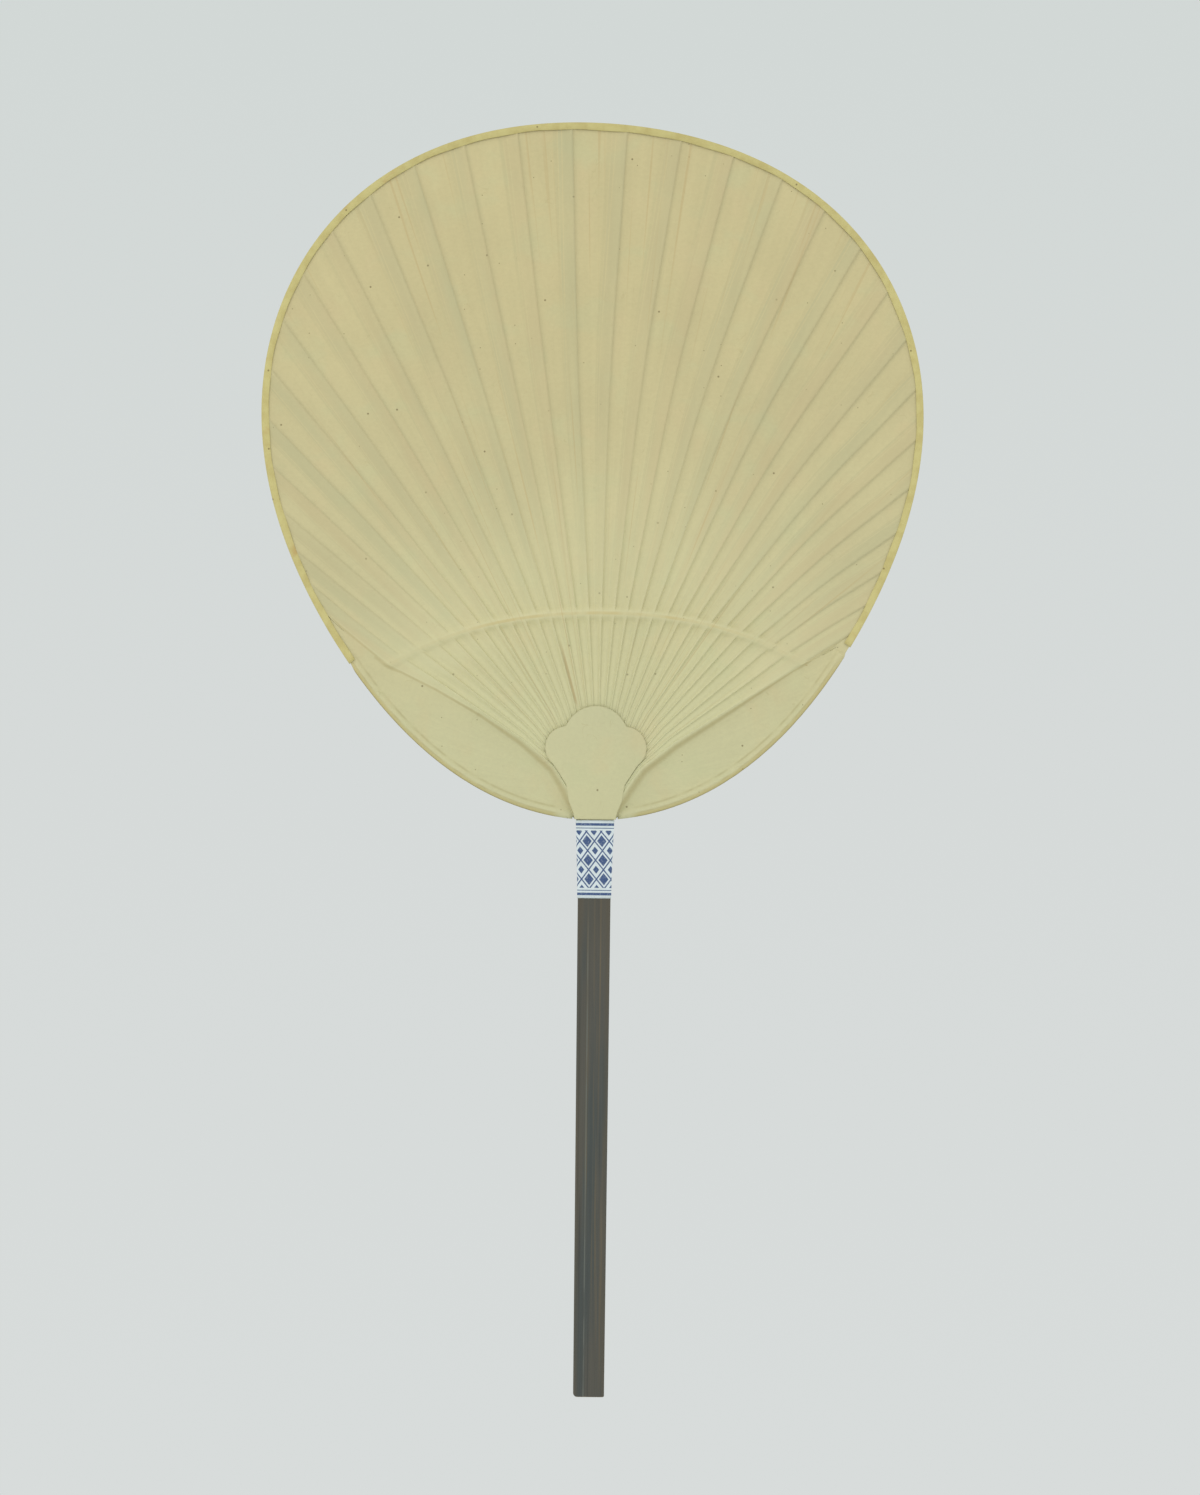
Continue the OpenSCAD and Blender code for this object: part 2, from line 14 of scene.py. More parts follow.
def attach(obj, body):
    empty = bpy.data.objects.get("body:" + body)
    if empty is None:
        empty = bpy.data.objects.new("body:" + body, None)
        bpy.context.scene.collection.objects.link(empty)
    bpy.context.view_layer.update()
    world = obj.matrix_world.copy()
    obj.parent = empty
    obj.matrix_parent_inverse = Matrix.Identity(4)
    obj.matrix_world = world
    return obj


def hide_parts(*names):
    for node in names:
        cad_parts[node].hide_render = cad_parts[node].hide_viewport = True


MM = 0.001
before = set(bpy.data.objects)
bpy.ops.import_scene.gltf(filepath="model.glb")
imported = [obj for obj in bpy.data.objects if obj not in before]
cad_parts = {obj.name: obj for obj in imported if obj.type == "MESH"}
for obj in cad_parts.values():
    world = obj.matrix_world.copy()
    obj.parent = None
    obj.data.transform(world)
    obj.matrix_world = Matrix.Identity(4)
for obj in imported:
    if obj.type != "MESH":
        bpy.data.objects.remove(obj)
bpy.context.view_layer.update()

# Sizes of the fan, as in its construction
HEAD_R, HEAD_TALL, HEAD_TAPER, HEAD_LEAN, HEAD_UNEVEN, HEAD_SHIFT = 127.8, 3.8, 5.65, 1.05, 0.37, -2.6
GRIP_LEN, LABEL_H, NECK_H, STRIP_T, SKIN_R = 188.6, 29.5, 6.0, 5.2, 120.0
BUTT_W, GRIP_W, THROAT_W, NECK_W = 11.7, 12.4, 14.1, 17.2
RIBS, RIB_W, RIB_TIP_W, RIB_TIP_T, SLIT_W = 29, 5.0, 4.4, 0.3, 0.15
RIB_FLAT, RIB_FILL, RIB_BEND = 4.0, 0.86, 34.0
FAN_HALF, FAN_TURN, RIM_HALF, RIM_EVEN, RIM_TURN, RIM_SHIFT = 57.1, -0.85, 56.3, 57.5, 0.45, 1.1
SPREAD_RISE, SPREAD_SHIFT, ROOT_DEPTH = 5.4, 0.6, 1.5
LACE_R, LACE_RISE, THREAD_D = 67.0, 23.4, 0.5
BOW_D, BOW_TIP_D, BOW_INSET, BOW_LEFT, BOW_RIGHT = 3.0, 2.0, 2.1, -133.5, 128.2
PAPER_T, TAPE_W, TAPE_T, TAPE_FOLD, TIP_GAP = 0.2, 3.0, 0.15, 0.5, 2.2
PATCH_TOP_R, PATCH_SIDE_R, PATCH_H, PATCH_T = 12.2, 8.0, 43.2, 0.2
GAP = 0.08                                   # room between a sheet and what it lies on

LABEL_TOP = GRIP_LEN + LABEL_H
NECK_TOP = LABEL_TOP + NECK_H
SPREAD_Z = NECK_TOP + SPREAD_RISE
LAST = (RIBS - 1) // 2                       # number of the outermost rib on either side
RIB_T = NECK_W / RIBS - SLIT_W
ROOT_W = STRIP_T - 0.9

# Colours that the photograph shows, as 8-bit sRGB
PAPER_HUE = (200, 193, 149)
PAPER_TOP_HUE = (200, 190, 144)
PAPER_LOW_HUE = (200, 198, 156)
PATCH_HUE = (200, 198, 159)
TAPE_HUE = (203, 194, 130)
LABEL_HUE = (214, 226, 228)
NAVY_HUE = (54, 80, 126)
BARK_HUE = (112, 98, 66)
BAMBOO_HUE = (70, 76, 73)
# and tints guessed beside them: the papers',
CLOUD_WARM_HUE, CLOUD_COOL_HUE, FIBRE_HUE = (205, 190, 146), (192, 196, 152), (170, 158, 112)
RIB_WARM_HUE, RIB_GREY_HUE, RIB_FALL_SHADE_HUE = (193, 181, 139), (184, 181, 141), (164, 162, 126)
FOLD_LIGHT_HUE, TAN_STREAK_HUE, STAIN_HUE = (208, 210, 170), (186, 164, 116), (160, 130, 82)
RUBBED_HUE, SLOPE_SHADE_HUE, CREASE_HUE = (196, 178, 120), (166, 150, 100), (165, 156, 112)
RIM_HUE, RIM_EDGE_HUE, PATCH_EDGE_HUE = (190, 176, 112), (138, 120, 68), (172, 165, 124)
# the tape's and the label's,
TAPE_BLOTCH_HUE, TAPE_RUST_HUE, TAPE_FOLD_HUE = (192, 180, 116), (186, 150, 92), (168, 154, 96)
TAPE_SPECK_HUE, LABEL_DULL_HUE = (104, 84, 52), (204, 214, 208)
# and the bamboo's and the thread's
BAMBOO_BROAD_HUE, BAMBOO_STREAK_HUE, BAMBOO_DARK_HUE = (84, 82, 73), (112, 98, 70), (52, 54, 53)
BAMBOO_EDGE_HUE, BAMBOO_TOP_HUE, SCRATCH_HUE = (88, 80, 62), (86, 80, 66), (101, 106, 98)
RIB_SPLIT_HUE, PORE_HUE, END_GRAIN_HUE = (150, 138, 98), (58, 50, 38), (128, 114, 84)
BOW_DARK_HUE, BOW_PALE_HUE = (168, 154, 100), (186, 174, 120)
THREAD_DARK_HUE, THREAD_PALE_HUE = (180, 164, 112), (198, 184, 134)


def sind(a):
    return math.sin(math.radians(a))


def cosd(a):
    return math.cos(math.radians(a))


def mix(a, b, share):
    return a * (1 - share) + b * share


def lin(rgb):
    """Linear colour of an 8-bit sRGB colour."""
    return tuple(c / 255 / 12.92 if c <= 10 else ((c / 255 + 0.055) / 1.055) ** 2.4 for c in rgb) + (1.0,)


# The fan's geometry
def outline_r(a):
    """Radius of the head at an angle from the top, positive to the right."""
    return (HEAD_R + HEAD_TALL * cosd(2 * a) - HEAD_LEAN * sind(2 * a) - HEAD_TAPER * cosd(3 * a)
            + HEAD_UNEVEN * (cosd(4 * a) - sind(4 * a) - cosd(5 * a)))


HEAD_Z = LABEL_TOP + outline_r(180)


def rim_point(a, inset):
    r = outline_r(a) - inset
    return np.array([HEAD_SHIFT + r * sind(a), HEAD_Z + r * cosd(a)])


def head_angle(p):
    return math.degrees(math.atan2(p[0] - HEAD_SHIFT, p[1] - HEAD_Z))


def rim_inset(p):
    """Distance in from the rim, measured towards the head's middle."""
    return outline_r(head_angle(p)) - math.hypot(p[0] - HEAD_SHIFT, p[1] - HEAD_Z)


def lace_angle(k):
    return FAN_TURN + FAN_HALF * k / LAST


def rim_angle(k):
    spread = RIM_HALF * sind(RIM_EVEN * k / LAST) / sind(RIM_EVEN)
    return RIM_TURN + RIM_SHIFT * (1 - (k / LAST) ** 2) + spread


def ray_point(angle, r):
    return np.array([SPREAD_SHIFT + r * sind(angle), SPREAD_Z + r * cosd(angle)])


def reach(angle, inset):
    """Distance from the spreading point to the rim, less an inset, by halving."""
    near, far = LACE_R, 3 * HEAD_R
    for _ in range(30):
        half = (near + far) / 2
        p = ray_point(angle, half)
        if math.hypot(p[0] - HEAD_SHIFT, p[1] - HEAD_Z) < outline_r(head_angle(p)) - inset:
            near = half
        else:
            far = half
    return near


REACH_STEPS = np.arange(-LAST - 1, LAST + 1.01, 0.5)
REACHES = np.array([reach(rim_angle(k), TAPE_FOLD) for k in REACH_STEPS])


def rim_reach(k):
    return float(np.interp(k, REACH_STEPS, REACHES))


def lace_reach(k):
    return LACE_R + LACE_RISE * (k / LAST) ** 2


def rib_ray(k, r, r_end):
    past = max(0.0, (r - lace_reach(k)) / (r_end - lace_reach(k)))
    return ray_point(mix(lace_angle(k), rim_angle(k), past), r)


def bend_point(k, t):
    x = NECK_W * k / RIBS
    a, b = np.array([x, NECK_TOP]), np.array([1.35 * x, NECK_TOP + 5])
    c, d = ray_point(lace_angle(k), 0.4 * RIB_BEND), ray_point(lace_angle(k), RIB_BEND)
    return a * (1 - t) ** 3 + 3 * b * t * (1 - t) ** 2 + 3 * c * t * t * (1 - t) + d * t ** 3


# Stations along a rib: its root, the top of the neck, the end of its bend, the thread and its tip
ROOT, TOP, BEND, LACED, TIP = 0, 1, 4, 7, 9


def rib_point(k, i):
    r_end, r_lace = rim_reach(k), lace_reach(k)
    if i == ROOT:
        return np.array([NECK_W * k / RIBS, NECK_TOP - ROOT_DEPTH])
    if i <= BEND:
        return bend_point(k, (i - TOP) / (BEND - TOP))
    if i <= LACED:
        return rib_ray(k, mix(RIB_BEND, r_lace, (i - BEND) / (LACED - BEND)), r_end)
    return rib_ray(k, (r_lace + r_end) / 2 if i < TIP else r_end, r_end)


def rib_right(k, i):
    along = rib_point(k, min(i + 1, TIP)) - rib_point(k, max(i - 1, ROOT))
    along /= np.hypot(*along)
    return np.array([along[1], -along[0]])


def rib_spacing(k, i):
    return float((rib_point(k + 0.5, i) - rib_point(k - 0.5, i)) @ rib_right(k, i))


def rib_width(i):
    return ROOT_W if i <= TOP else RIB_W if i <= LACED else RIB_TIP_W if i == TIP else (RIB_W + RIB_TIP_W) / 2


def rib_thick(i):
    return RIB_T if i <= LACED else RIB_TIP_T if i == TIP else (RIB_T + RIB_TIP_T) / 2


def rib_slope(k, i):
    if i <= TOP:
        return 90.0
    return max(RIB_FLAT, math.degrees(math.acos(min(1, RIB_FILL * rib_spacing(k, i) / rib_width(i)))))


def beside(k, i, u):
    return rib_point(k + u / rib_spacing(k, i), i) if i > BEND else rib_point(k, i) + u * rib_right(k, i)


def bow_r(a):
    """Radius of the bow at an angle of the head, from 0 at the top to 180 at the neck on either side."""
    tip = BOW_LEFT if a < 0 else BOW_RIGHT
    away = min(1.0, (180 - abs(a)) / (180 - abs(tip)))
    return mix(BOW_D, BOW_TIP_D, away * away) / 2


# Meshes and materials: helpers
def add_mesh(name, points, faces, body="root", smooth=True, attributes=None):
    """Object from points in millimetres. attributes holds one number per point for each name."""
    mesh = bpy.data.meshes.new(name)
    mesh.from_pydata([tuple(p) for p in np.asarray(points) * MM], [], faces)
    for key, values in (attributes or {}).items():
        mesh.attributes.new(key, "FLOAT", "POINT").data.foreach_set("value", np.asarray(values, np.float32))
    mesh.polygons.foreach_set("use_smooth", [smooth] * len(mesh.polygons))
    obj = bpy.data.objects.new(name, mesh)
    bpy.context.scene.collection.objects.link(obj)
    if body:
        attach(obj, body)
    return obj


def grid_faces(rows, cols, flip=False, closed=False):
    """Quads of a grid of points, row by row. closed joins the last column to the first."""
    faces = []
    for i in range(rows - 1):
        for j in range(cols if closed else cols - 1):
            a, b = i * cols + j, i * cols + (j + 1) % cols
            quad = (a, b, b + cols, a + cols)
            faces.append(quad[::-1] if flip else quad)
    return faces


class Paint:
    """A node material, built line by line."""

    def __init__(self, name):
        self.material = bpy.data.materials.new(name)
        self.material.use_nodes = True
        self.nodes = self.material.node_tree.nodes
        self.links = self.material.node_tree.links
        self.shader = self.nodes["Principled BSDF"]
        self.place = self.node("ShaderNodeNewGeometry").outputs["Position"]
        self.x, self.y, self.z = self.node("ShaderNodeSeparateXYZ", {0: self.place}).outputs

    def node(self, kind, inputs=None, **settings):
        n = self.nodes.new(kind)
        for key, value in settings.items():
            setattr(n, key, value)
        for key, value in (inputs or {}).items():
            self.put(n.inputs[key], value)
        return n

    def put(self, socket, value):
        if isinstance(value, bpy.types.NodeSocket):
            self.links.new(value, socket)
        else:
            socket.default_value = value

    def attribute(self, name):
        return self.node("ShaderNodeAttribute", attribute_name=name).outputs["Fac"]

    def math(self, operation, a, b=0.0):
        return self.node("ShaderNodeMath", {0: a, 1: b}, operation=operation).outputs[0]

    def times(self, first, *others):
        for value in others:
            first = self.math("MULTIPLY", first, value)
        return first

    def size(self, value):
        return self.math("ABSOLUTE", value)

    def scaled(self, vector, size):
        """vector divided by a size in millimetres on each axis."""
        return self.node("ShaderNodeVectorMath", {0: vector, 1: tuple(1 / (s * MM) for s in size)},
                         operation="MULTIPLY").outputs[0]

    def vector(self, x, y, z=0.0):
        return self.node("ShaderNodeCombineXYZ", {0: x, 1: y, 2: z}).outputs[0]

    def noise(self, vector, scale=1.0, detail=2.0, roughness=0.5, distortion=0.0):
        inputs = {"Vector": vector, "Scale": scale, "Detail": detail, "Roughness": roughness,
                  "Distortion": distortion}
        return self.node("ShaderNodeTexNoise", inputs).outputs["Fac"]

    def grain(self, x, y, z, **settings):
        """Noise with a size in millimetres on each axis."""
        return self.noise(self.scaled(self.place, (x, y, z)), **settings)

    def colour_noise(self, size):
        """Three slow noises in one vector, of a size in millimetres."""
        return self.node("ShaderNodeTexNoise", {"Vector": self.scaled(self.place, (size, size, size)),
                                                "Scale": 1.0}).outputs["Color"]

    def fit(self, value, low, high, out_low=0.0, out_high=1.0, smooth=True):
        """value carried from low..high to out_low..out_high, held at both ends."""
        return self.node("ShaderNodeMapRange", {"Value": value, "From Min": low, "From Max": high,
                                                "To Min": out_low, "To Max": out_high},
                         interpolation_type="SMOOTHSTEP" if smooth else "LINEAR").outputs[0]

    def blend(self, share, a, b):
        n = self.node("ShaderNodeMix", data_type="RGBA")
        self.put(n.inputs["Factor"], share)
        self.put(n.inputs[6], a)
        self.put(n.inputs[7], b)
        return n.outputs[2]

    def shade(self, colour, amount):
        """colour times amount, where amount is near 1."""
        return self.node("ShaderNodeVectorMath", {0: colour, "Scale": amount}, operation="SCALE").outputs[0]

    def bump(self, height, strength, depth, normal=None):
        inputs = {"Height": height, "Strength": strength, "Distance": depth * MM}
        if normal is not None:
            inputs["Normal"] = normal
        return self.node("ShaderNodeBump", inputs).outputs[0]

    def finish(self, colour, roughness, normal=None, **sockets):
        self.put(self.shader.inputs["Base Color"], colour)
        self.put(self.shader.inputs["Roughness"], roughness)
        if normal is not None:
            self.put(self.shader.inputs["Normal"], normal)
        for key, value in sockets.items():
            self.put(self.shader.inputs[key.replace("_", " ")], value)
        return self.material


def dress(obj, material, record_slot, *nodes):
    """Gives obj its material and hides the CAD nodes that it stands for. record_slot is not used."""
    obj.data.materials.clear()
    obj.data.materials.append(material)
    if nodes:
        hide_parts(*nodes)


# The papers
DROP_W, DROP_H = 2.2, 1.6                    # width of the slope beside an outermost rib that is this high
DROP_LEAST = 0.7                             # least share of that width
LACE_DROP_W = 2.6                            # width of the slope where the thread comes down
TURN_ROUND = 0.28                            # share of a segment over which the ribs' turn is rounded
LASH_TURN, LASH_RISE = 1.2, 0.5              # angle that a lashing covers, and its height above the bow
BOW_ROOM, LACE_ROOM = 0.22, 0.1              # room between the paper and the bow, and the thread, under it
SAG = 0.28                                   # depth of the paper between ribs, as a share of the room there
FALL_W = 2.2                                 # width over which the paper falls off a rib's raised edge
LACE_HALF = 3.2                              # half width of the ridge over the thread
LACE_FLAT = 0.4                              # half width of its flat top
LACE_SIDE = (LACE_FLAT, 0.85, 1.35, 1.9, 2.5, LACE_HALF)     # distances of the rows beside the thread from it
LACE_STEPS = tuple(-d for d in LACE_SIDE[::-1]) + (0.0,) + LACE_SIDE
COLUMNS = (5, 2, 2, 3)                       # columns from a rib's foot to its ridge, edge, gap and next foot
SLOPE_COLS, FLAT_COLS, BOW_COLS = 5, 7, 14   # columns beyond the outermost ribs
OUT_COLS = SLOPE_COLS + FLAT_COLS + BOW_COLS
SEGMENT_ROWS = (2, 3, 4, 5, 4, 4, 6, 16, 22)  # rows between each two stations of the ribs
NOT_ON_RIB, NOT_BY_LACE = 3.5, 9.0           # values of the band and lace attributes beyond the ribs


def rib_knots(k, i):
    """Foot, ridge, edge and gap of the paper over rib k at station i, as (sideways, height) from its face."""
    slope = math.radians(rib_slope(k, i))
    w, t = rib_width(i) / 2, rib_thick(i) / 2
    rise = w * math.sin(slope) + t * math.cos(slope)
    loose = rib_spacing(k, i) - NECK_W / RIBS
    valley = max(GAP, rise - SAG * loose)
    ridge_u = w * math.cos(slope) - t * math.sin(slope)
    edge_u = w * math.cos(slope) + t * math.sin(slope)
    edge_h = max(w * math.sin(slope) - t * math.cos(slope) + GAP, mix(rise + GAP, valley, 0.3))
    left_u = -w * math.cos(slope) - t * math.sin(slope)
    left_h = max(-w * math.sin(slope) + t * math.cos(slope) + GAP, valley)
    foot_u = ridge_u - (rise + GAP - left_h) / max(math.tan(slope), 0.02)
    room = rib_spacing(k, i) - edge_u + left_u
    foot = (max(foot_u, left_u) if i > TOP else left_u - 0.08, left_h)
    fallen = (edge_u + min(FALL_W, max(0.04, 0.4 * room)), valley)
    knots = [foot, (ridge_u, rise + GAP), (edge_u, edge_h), fallen]
    if i <= TOP:
        knots = [(u, STRIP_T / 2 + GAP) for u, _ in knots]
    return knots


def paper_knots(face):
    """Array of the papers' knots: station, knot from the face's left to its right, and x, height, z."""
    table = []
    for i in range(ROOT, TIP + 1):
        row = []
        for k in range(-LAST, LAST + 1)[::face]:
            for u, h in rib_knots(k, i):
                if i == ROOT:
                    x = THROAT_W * k / RIBS + face * u / 2
                    p = (x, LABEL_TOP + 0.25)
                else:
                    p = beside(k, i, face * u)
                row.append((p[0], h, p[1]))
        table.append(row[:-1])
    return np.array(table)


def row_angle(side, s):
    """Angle on the rim where the row at station s of the outermost rib ends."""
    tip = BOW_LEFT if side < 0 else BOW_RIGHT
    low = head_angle((side * (THROAT_W / 2 + 1.6), LABEL_TOP))
    laced = lace_reach(LAST)
    out = [0, 3, RIB_BEND / 3, 2 * RIB_BEND / 3, RIB_BEND]
    out += [mix(RIB_BEND, laced, 1 / 3), mix(RIB_BEND, laced, 2 / 3), laced]
    if low * side < 0:
        low += side * 360
    last = head_angle(rib_point(side * LAST, TIP)) + side * 1.2
    angles = [mix(low, tip, o / out[LACED]) for o in out] + [mix(tip, last, 0.5), last]
    return float(np.interp(s, range(TIP + 1), angles))


def over_bow(inset, r):
    """Height of the paper where it drapes over the bow, at a distance in from the rim."""
    x = inset - BOW_INSET
    if x > 0:
        return r * math.exp(-(x / (1.12 * r)) ** 2)
    return r * math.sqrt(max(0.0, 1 - (x / BOW_INSET) ** 2))


def beyond(side, s, edge, edge_h):
    """Points and heights from the outermost rib's edge to the rim: slope, flat and the ridge over the bow."""
    a = row_angle(side, s)
    covered = min(1.0, max(0.0, (LACED + 0.25 - s) / 0.2))        # share of the bow under this row
    fold = mix(0.0, TAPE_FOLD, 1 - covered)
    to = rim_point(a, fold)
    lashed = abs(a - row_angle(side, LACED) - side * LASH_TURN / 2) / LASH_TURN
    r = bow_r(a) + BOW_ROOM + LASH_RISE * max(0.0, min(1.0, 2 - 1.6 * lashed))
    way = to - edge
    length = float(np.hypot(*way))
    unit = way / length
    points = []
    drop = max(DROP_W * max(DROP_LEAST, edge_h / DROP_H), LACE_DROP_W if abs(s - LACED) < 0.3 else 0.0)
    drop = min(drop, 0.35 * length)
    for j in range(1, SLOPE_COLS + 1):
        f = j / SLOPE_COLS
        falls = covered or s > (LACED + TIP) / 2
        points.append((edge + unit * drop * f, mix(edge_h, GAP, f * f * (3 - 2 * f)) if falls else edge_h))
    shoulder = rim_point(a, min(BOW_INSET + 1.9 * r, 0.6 * length + fold))
    start = edge + unit * drop
    for j in range(1, FLAT_COLS + 1):
        points.append((mix(start, shoulder, j / FLAT_COLS), GAP))
    inner = math.hypot(*(shoulder - rim_point(a, 0)))
    for j in range(1, BOW_COLS + 1):
        inset = mix(inner, fold, j / BOW_COLS)
        points.append((rim_point(a, inset), max(GAP, covered * over_bow(inset, r))))
    # close to the neck the slope itself runs over the bow
    return [(p, max(h, covered * over_bow(rim_inset(p), r))) for p, h in points]


def rounded_turn(s, p, line):
    """Places of a row's points, with the ribs' turn at the station past the lacing rounded off."""
    past = np.clip((s - LACED - 1 + TURN_ROUND) / (2 * TURN_ROUND), 0, 1)[:, None]
    first = mix(line(LACED + 1), line(LACED), TURN_ROUND)
    last = mix(line(LACED + 1), line(LACED + 2), TURN_ROUND)
    bend = first * (1 - past) ** 2 + 2 * line(LACED + 1) * past * (1 - past) + last * past ** 2
    return np.where((past > 0) & (past < 1), bend, p)[:, [0, 2]]


def paper_columns(order):
    """Fine columns of a sheet over the ribs in an order: knot and share, place on the rib (0 foot, 1 ridge,
    2 edge, 3 gap) and the rib's number."""
    spots, band, lanes = [], [], []
    for n, k in enumerate(order):
        for part, count in enumerate(COLUMNS):
            if k == order[-1] and part > 1:
                break
            for j in range(count):
                spots.append(4 * n + part + j / count)
                band.append(part + j / count)
                lanes.append(k)
    return np.array(spots + [4 * (len(order) - 1) + 2]), band + [2], lanes + [order[-1]]


def paper_rows(before, after):
    """Station of each column, row by row. The rows over the thread keep their distance from it. before and
    after are the lengths in millimetres of the segments on either side of it."""
    rows = []
    for i, count in enumerate(SEGMENT_ROWS):
        first, last = np.full(len(before), float(i)), np.full(len(before), float(i + 1))
        if i == LACED - 1:
            last = LACED - LACE_HALF / before
        if i == LACED:
            rows += [LACED + d / (before if d < 0 else after) for d in LACE_STEPS[:-1]]
            first = LACED + LACE_HALF / after
        rows += [mix(first, last, j / count) for j in range(count)]
    return rows + [np.full(len(before), float(TIP))]


def paper(name, face):
    """One sheet, draped over the ribs, the thread and the bow on one face: 1 is the front, -1 the back."""
    knots = paper_knots(face)
    spots, band, lanes = paper_columns(list(range(-LAST, LAST + 1)[::face]))
    low = np.minimum(spots.astype(int), knots.shape[1] - 2)
    share = (spots - low)[:, None]
    laced = np.array([lace_reach(k) for k in lanes])
    before = (laced - RIB_BEND) / (LACED - BEND)
    after = (np.array([rim_reach(k) for k in lanes]) - laced) / (TIP - LACED)
    rows = paper_rows(before, after)
    lace_h = np.array([max(rib_knots(q, LACED)[1][1] for q in (max(k - 1, -LAST), k, min(k + 1, LAST)))
                       for k in lanes]) + THREAD_D + LACE_ROOM
    # share of each slope column that gets the painted shade beside the outermost ribs
    fade = [float(c < SLOPE_COLS) * (1 - abs(2 * (c + 1) / SLOPE_COLS - 1)) for c in range(OUT_COLS)]

    points = []
    marks = {"band": [], "inset": [], "lace": [], "ribbed": [], "slope": []}
    for s in rows:
        i = np.minimum(s.astype(int), TIP - 1)
        f = (s - i)[:, None]
        at_knot = mix(knots[i, low], knots[i + 1, low], f)
        at_next = mix(knots[i, low + 1], knots[i + 1, low + 1], f)
        p = mix(at_knot, at_next, share)
        p[:, [0, 2]] = rounded_turn(s, p, lambda j: mix(knots[j, low], knots[j, low + 1], share))
        past = np.where(s < LACED, (s - LACED) * before, (s - LACED) * after)
        fallen = np.clip((np.abs(past) - LACE_FLAT) / (LACE_HALF - LACE_FLAT), 0, 1)
        p[:, 1] += np.maximum(lace_h - p[:, 1], 0) * np.cos(fallen * math.pi / 2) ** 2
        left, right = ([(q[0], h, q[1]) for q, h in beyond(side, float(s[j]), p[j][[0, 2]], float(p[j][1]))]
                       for side, j in ((-face, 0), (face, -1)))
        row = left[::-1] + [tuple(v) for v in p] + right
        points += row
        marks["inset"] += [rim_inset((x, z)) for x, _, z in row]
        for key, over_ribs, outside in (("band", band, NOT_ON_RIB), ("lace", list(past), NOT_BY_LACE),
                                        ("ribbed", [1.0] * len(p), 0.0)):
            marks[key] += [outside] * OUT_COLS + over_ribs + [outside] * OUT_COLS
        marks["slope"] += fade[::-1] + [0.0] * len(p) + fade
    points = np.array(points)
    points[:, 1] = -face * (points[:, 1] + PAPER_T)
    obj = add_mesh(name, points, grid_faces(len(rows), len(points) // len(rows)), attributes=marks)
    thick = obj.modifiers.new("thickness", "SOLIDIFY")
    thick.thickness = PAPER_T * MM
    thick.offset = -1
    return obj


# Tape, patches and label
TAPE_RINGS = 420
TAPE_ROOM, TAPE_WAVER = 0.16, 0.3            # room under the tape, and how far its cut edges waver
PATCH_GAP = 0.25                             # room under a patch
PATCH_RINGS = (1.0, 0.985, 0.96, 0.9, 0.8, 0.68, 0.55, 0.42, 0.3, 0.18, 0.08)    # sizes of its rings
LABEL_ROOM, LABEL_T, LABEL_ROWS = 0.05, 0.2, 24


def wobble(a, seed):
    """Slow irregular wave over an angle in degrees, between -1 and 1."""
    return (math.sin(math.radians(a * 7 + seed * 31)) + math.sin(math.radians(a * 17 + seed * 67))
            + math.sin(math.radians(a * 41 + seed * 13))) / 3


def rim_tape():
    """Paper tape folded over the rim, with hand-cut edges that waver a little."""
    inner = RIB_TIP_W * sind(RIB_FLAT) / 2 + RIB_TIP_T / 2 + PAPER_T + TAPE_ROOM
    out = inner + TAPE_T
    points, across = [], []
    for i in range(TAPE_RINGS + 1):
        a = mix(BOW_LEFT + TIP_GAP, BOW_RIGHT - TIP_GAP, i / TAPE_RINGS)
        front, back = (TAPE_W - 0.25 + TAPE_WAVER * wobble(a, seed) for seed in (1, 2))
        section = [(front, -(out - 0.12)), (front - 0.15, -out), (1.2, -out), (0.45, -out * 0.96),
                   (0.12, -out * 0.75), (0.0, -0.3 * out), (0.0, 0.3 * out), (0.12, out * 0.75),
                   (0.45, out * 0.96), (1.2, out), (back - 0.15, out), (back, out - 0.12),
                   (back, inner - 0.12), (0.35, inner - 0.12), (0.2, 0.0), (0.35, 0.12 - inner),
                   (front, 0.12 - inner)]
        for inset, y in section:
            x, z = rim_point(a, inset)
            points.append((x, y, z))
            across.append(inset)
    n = len(section)
    ends = [tuple(range(n))[::-1], tuple(range(TAPE_RINGS * n, TAPE_RINGS * n + n))]
    faces = grid_faces(TAPE_RINGS + 1, n, closed=True) + ends
    return add_mesh("rim_tape_folded", points, faces, attributes={"across": across})


def arc_points(centre, r, first, last, count):
    return [centre + r * np.array([math.cos(t), math.sin(t)]) for t in np.linspace(first, last, count)]


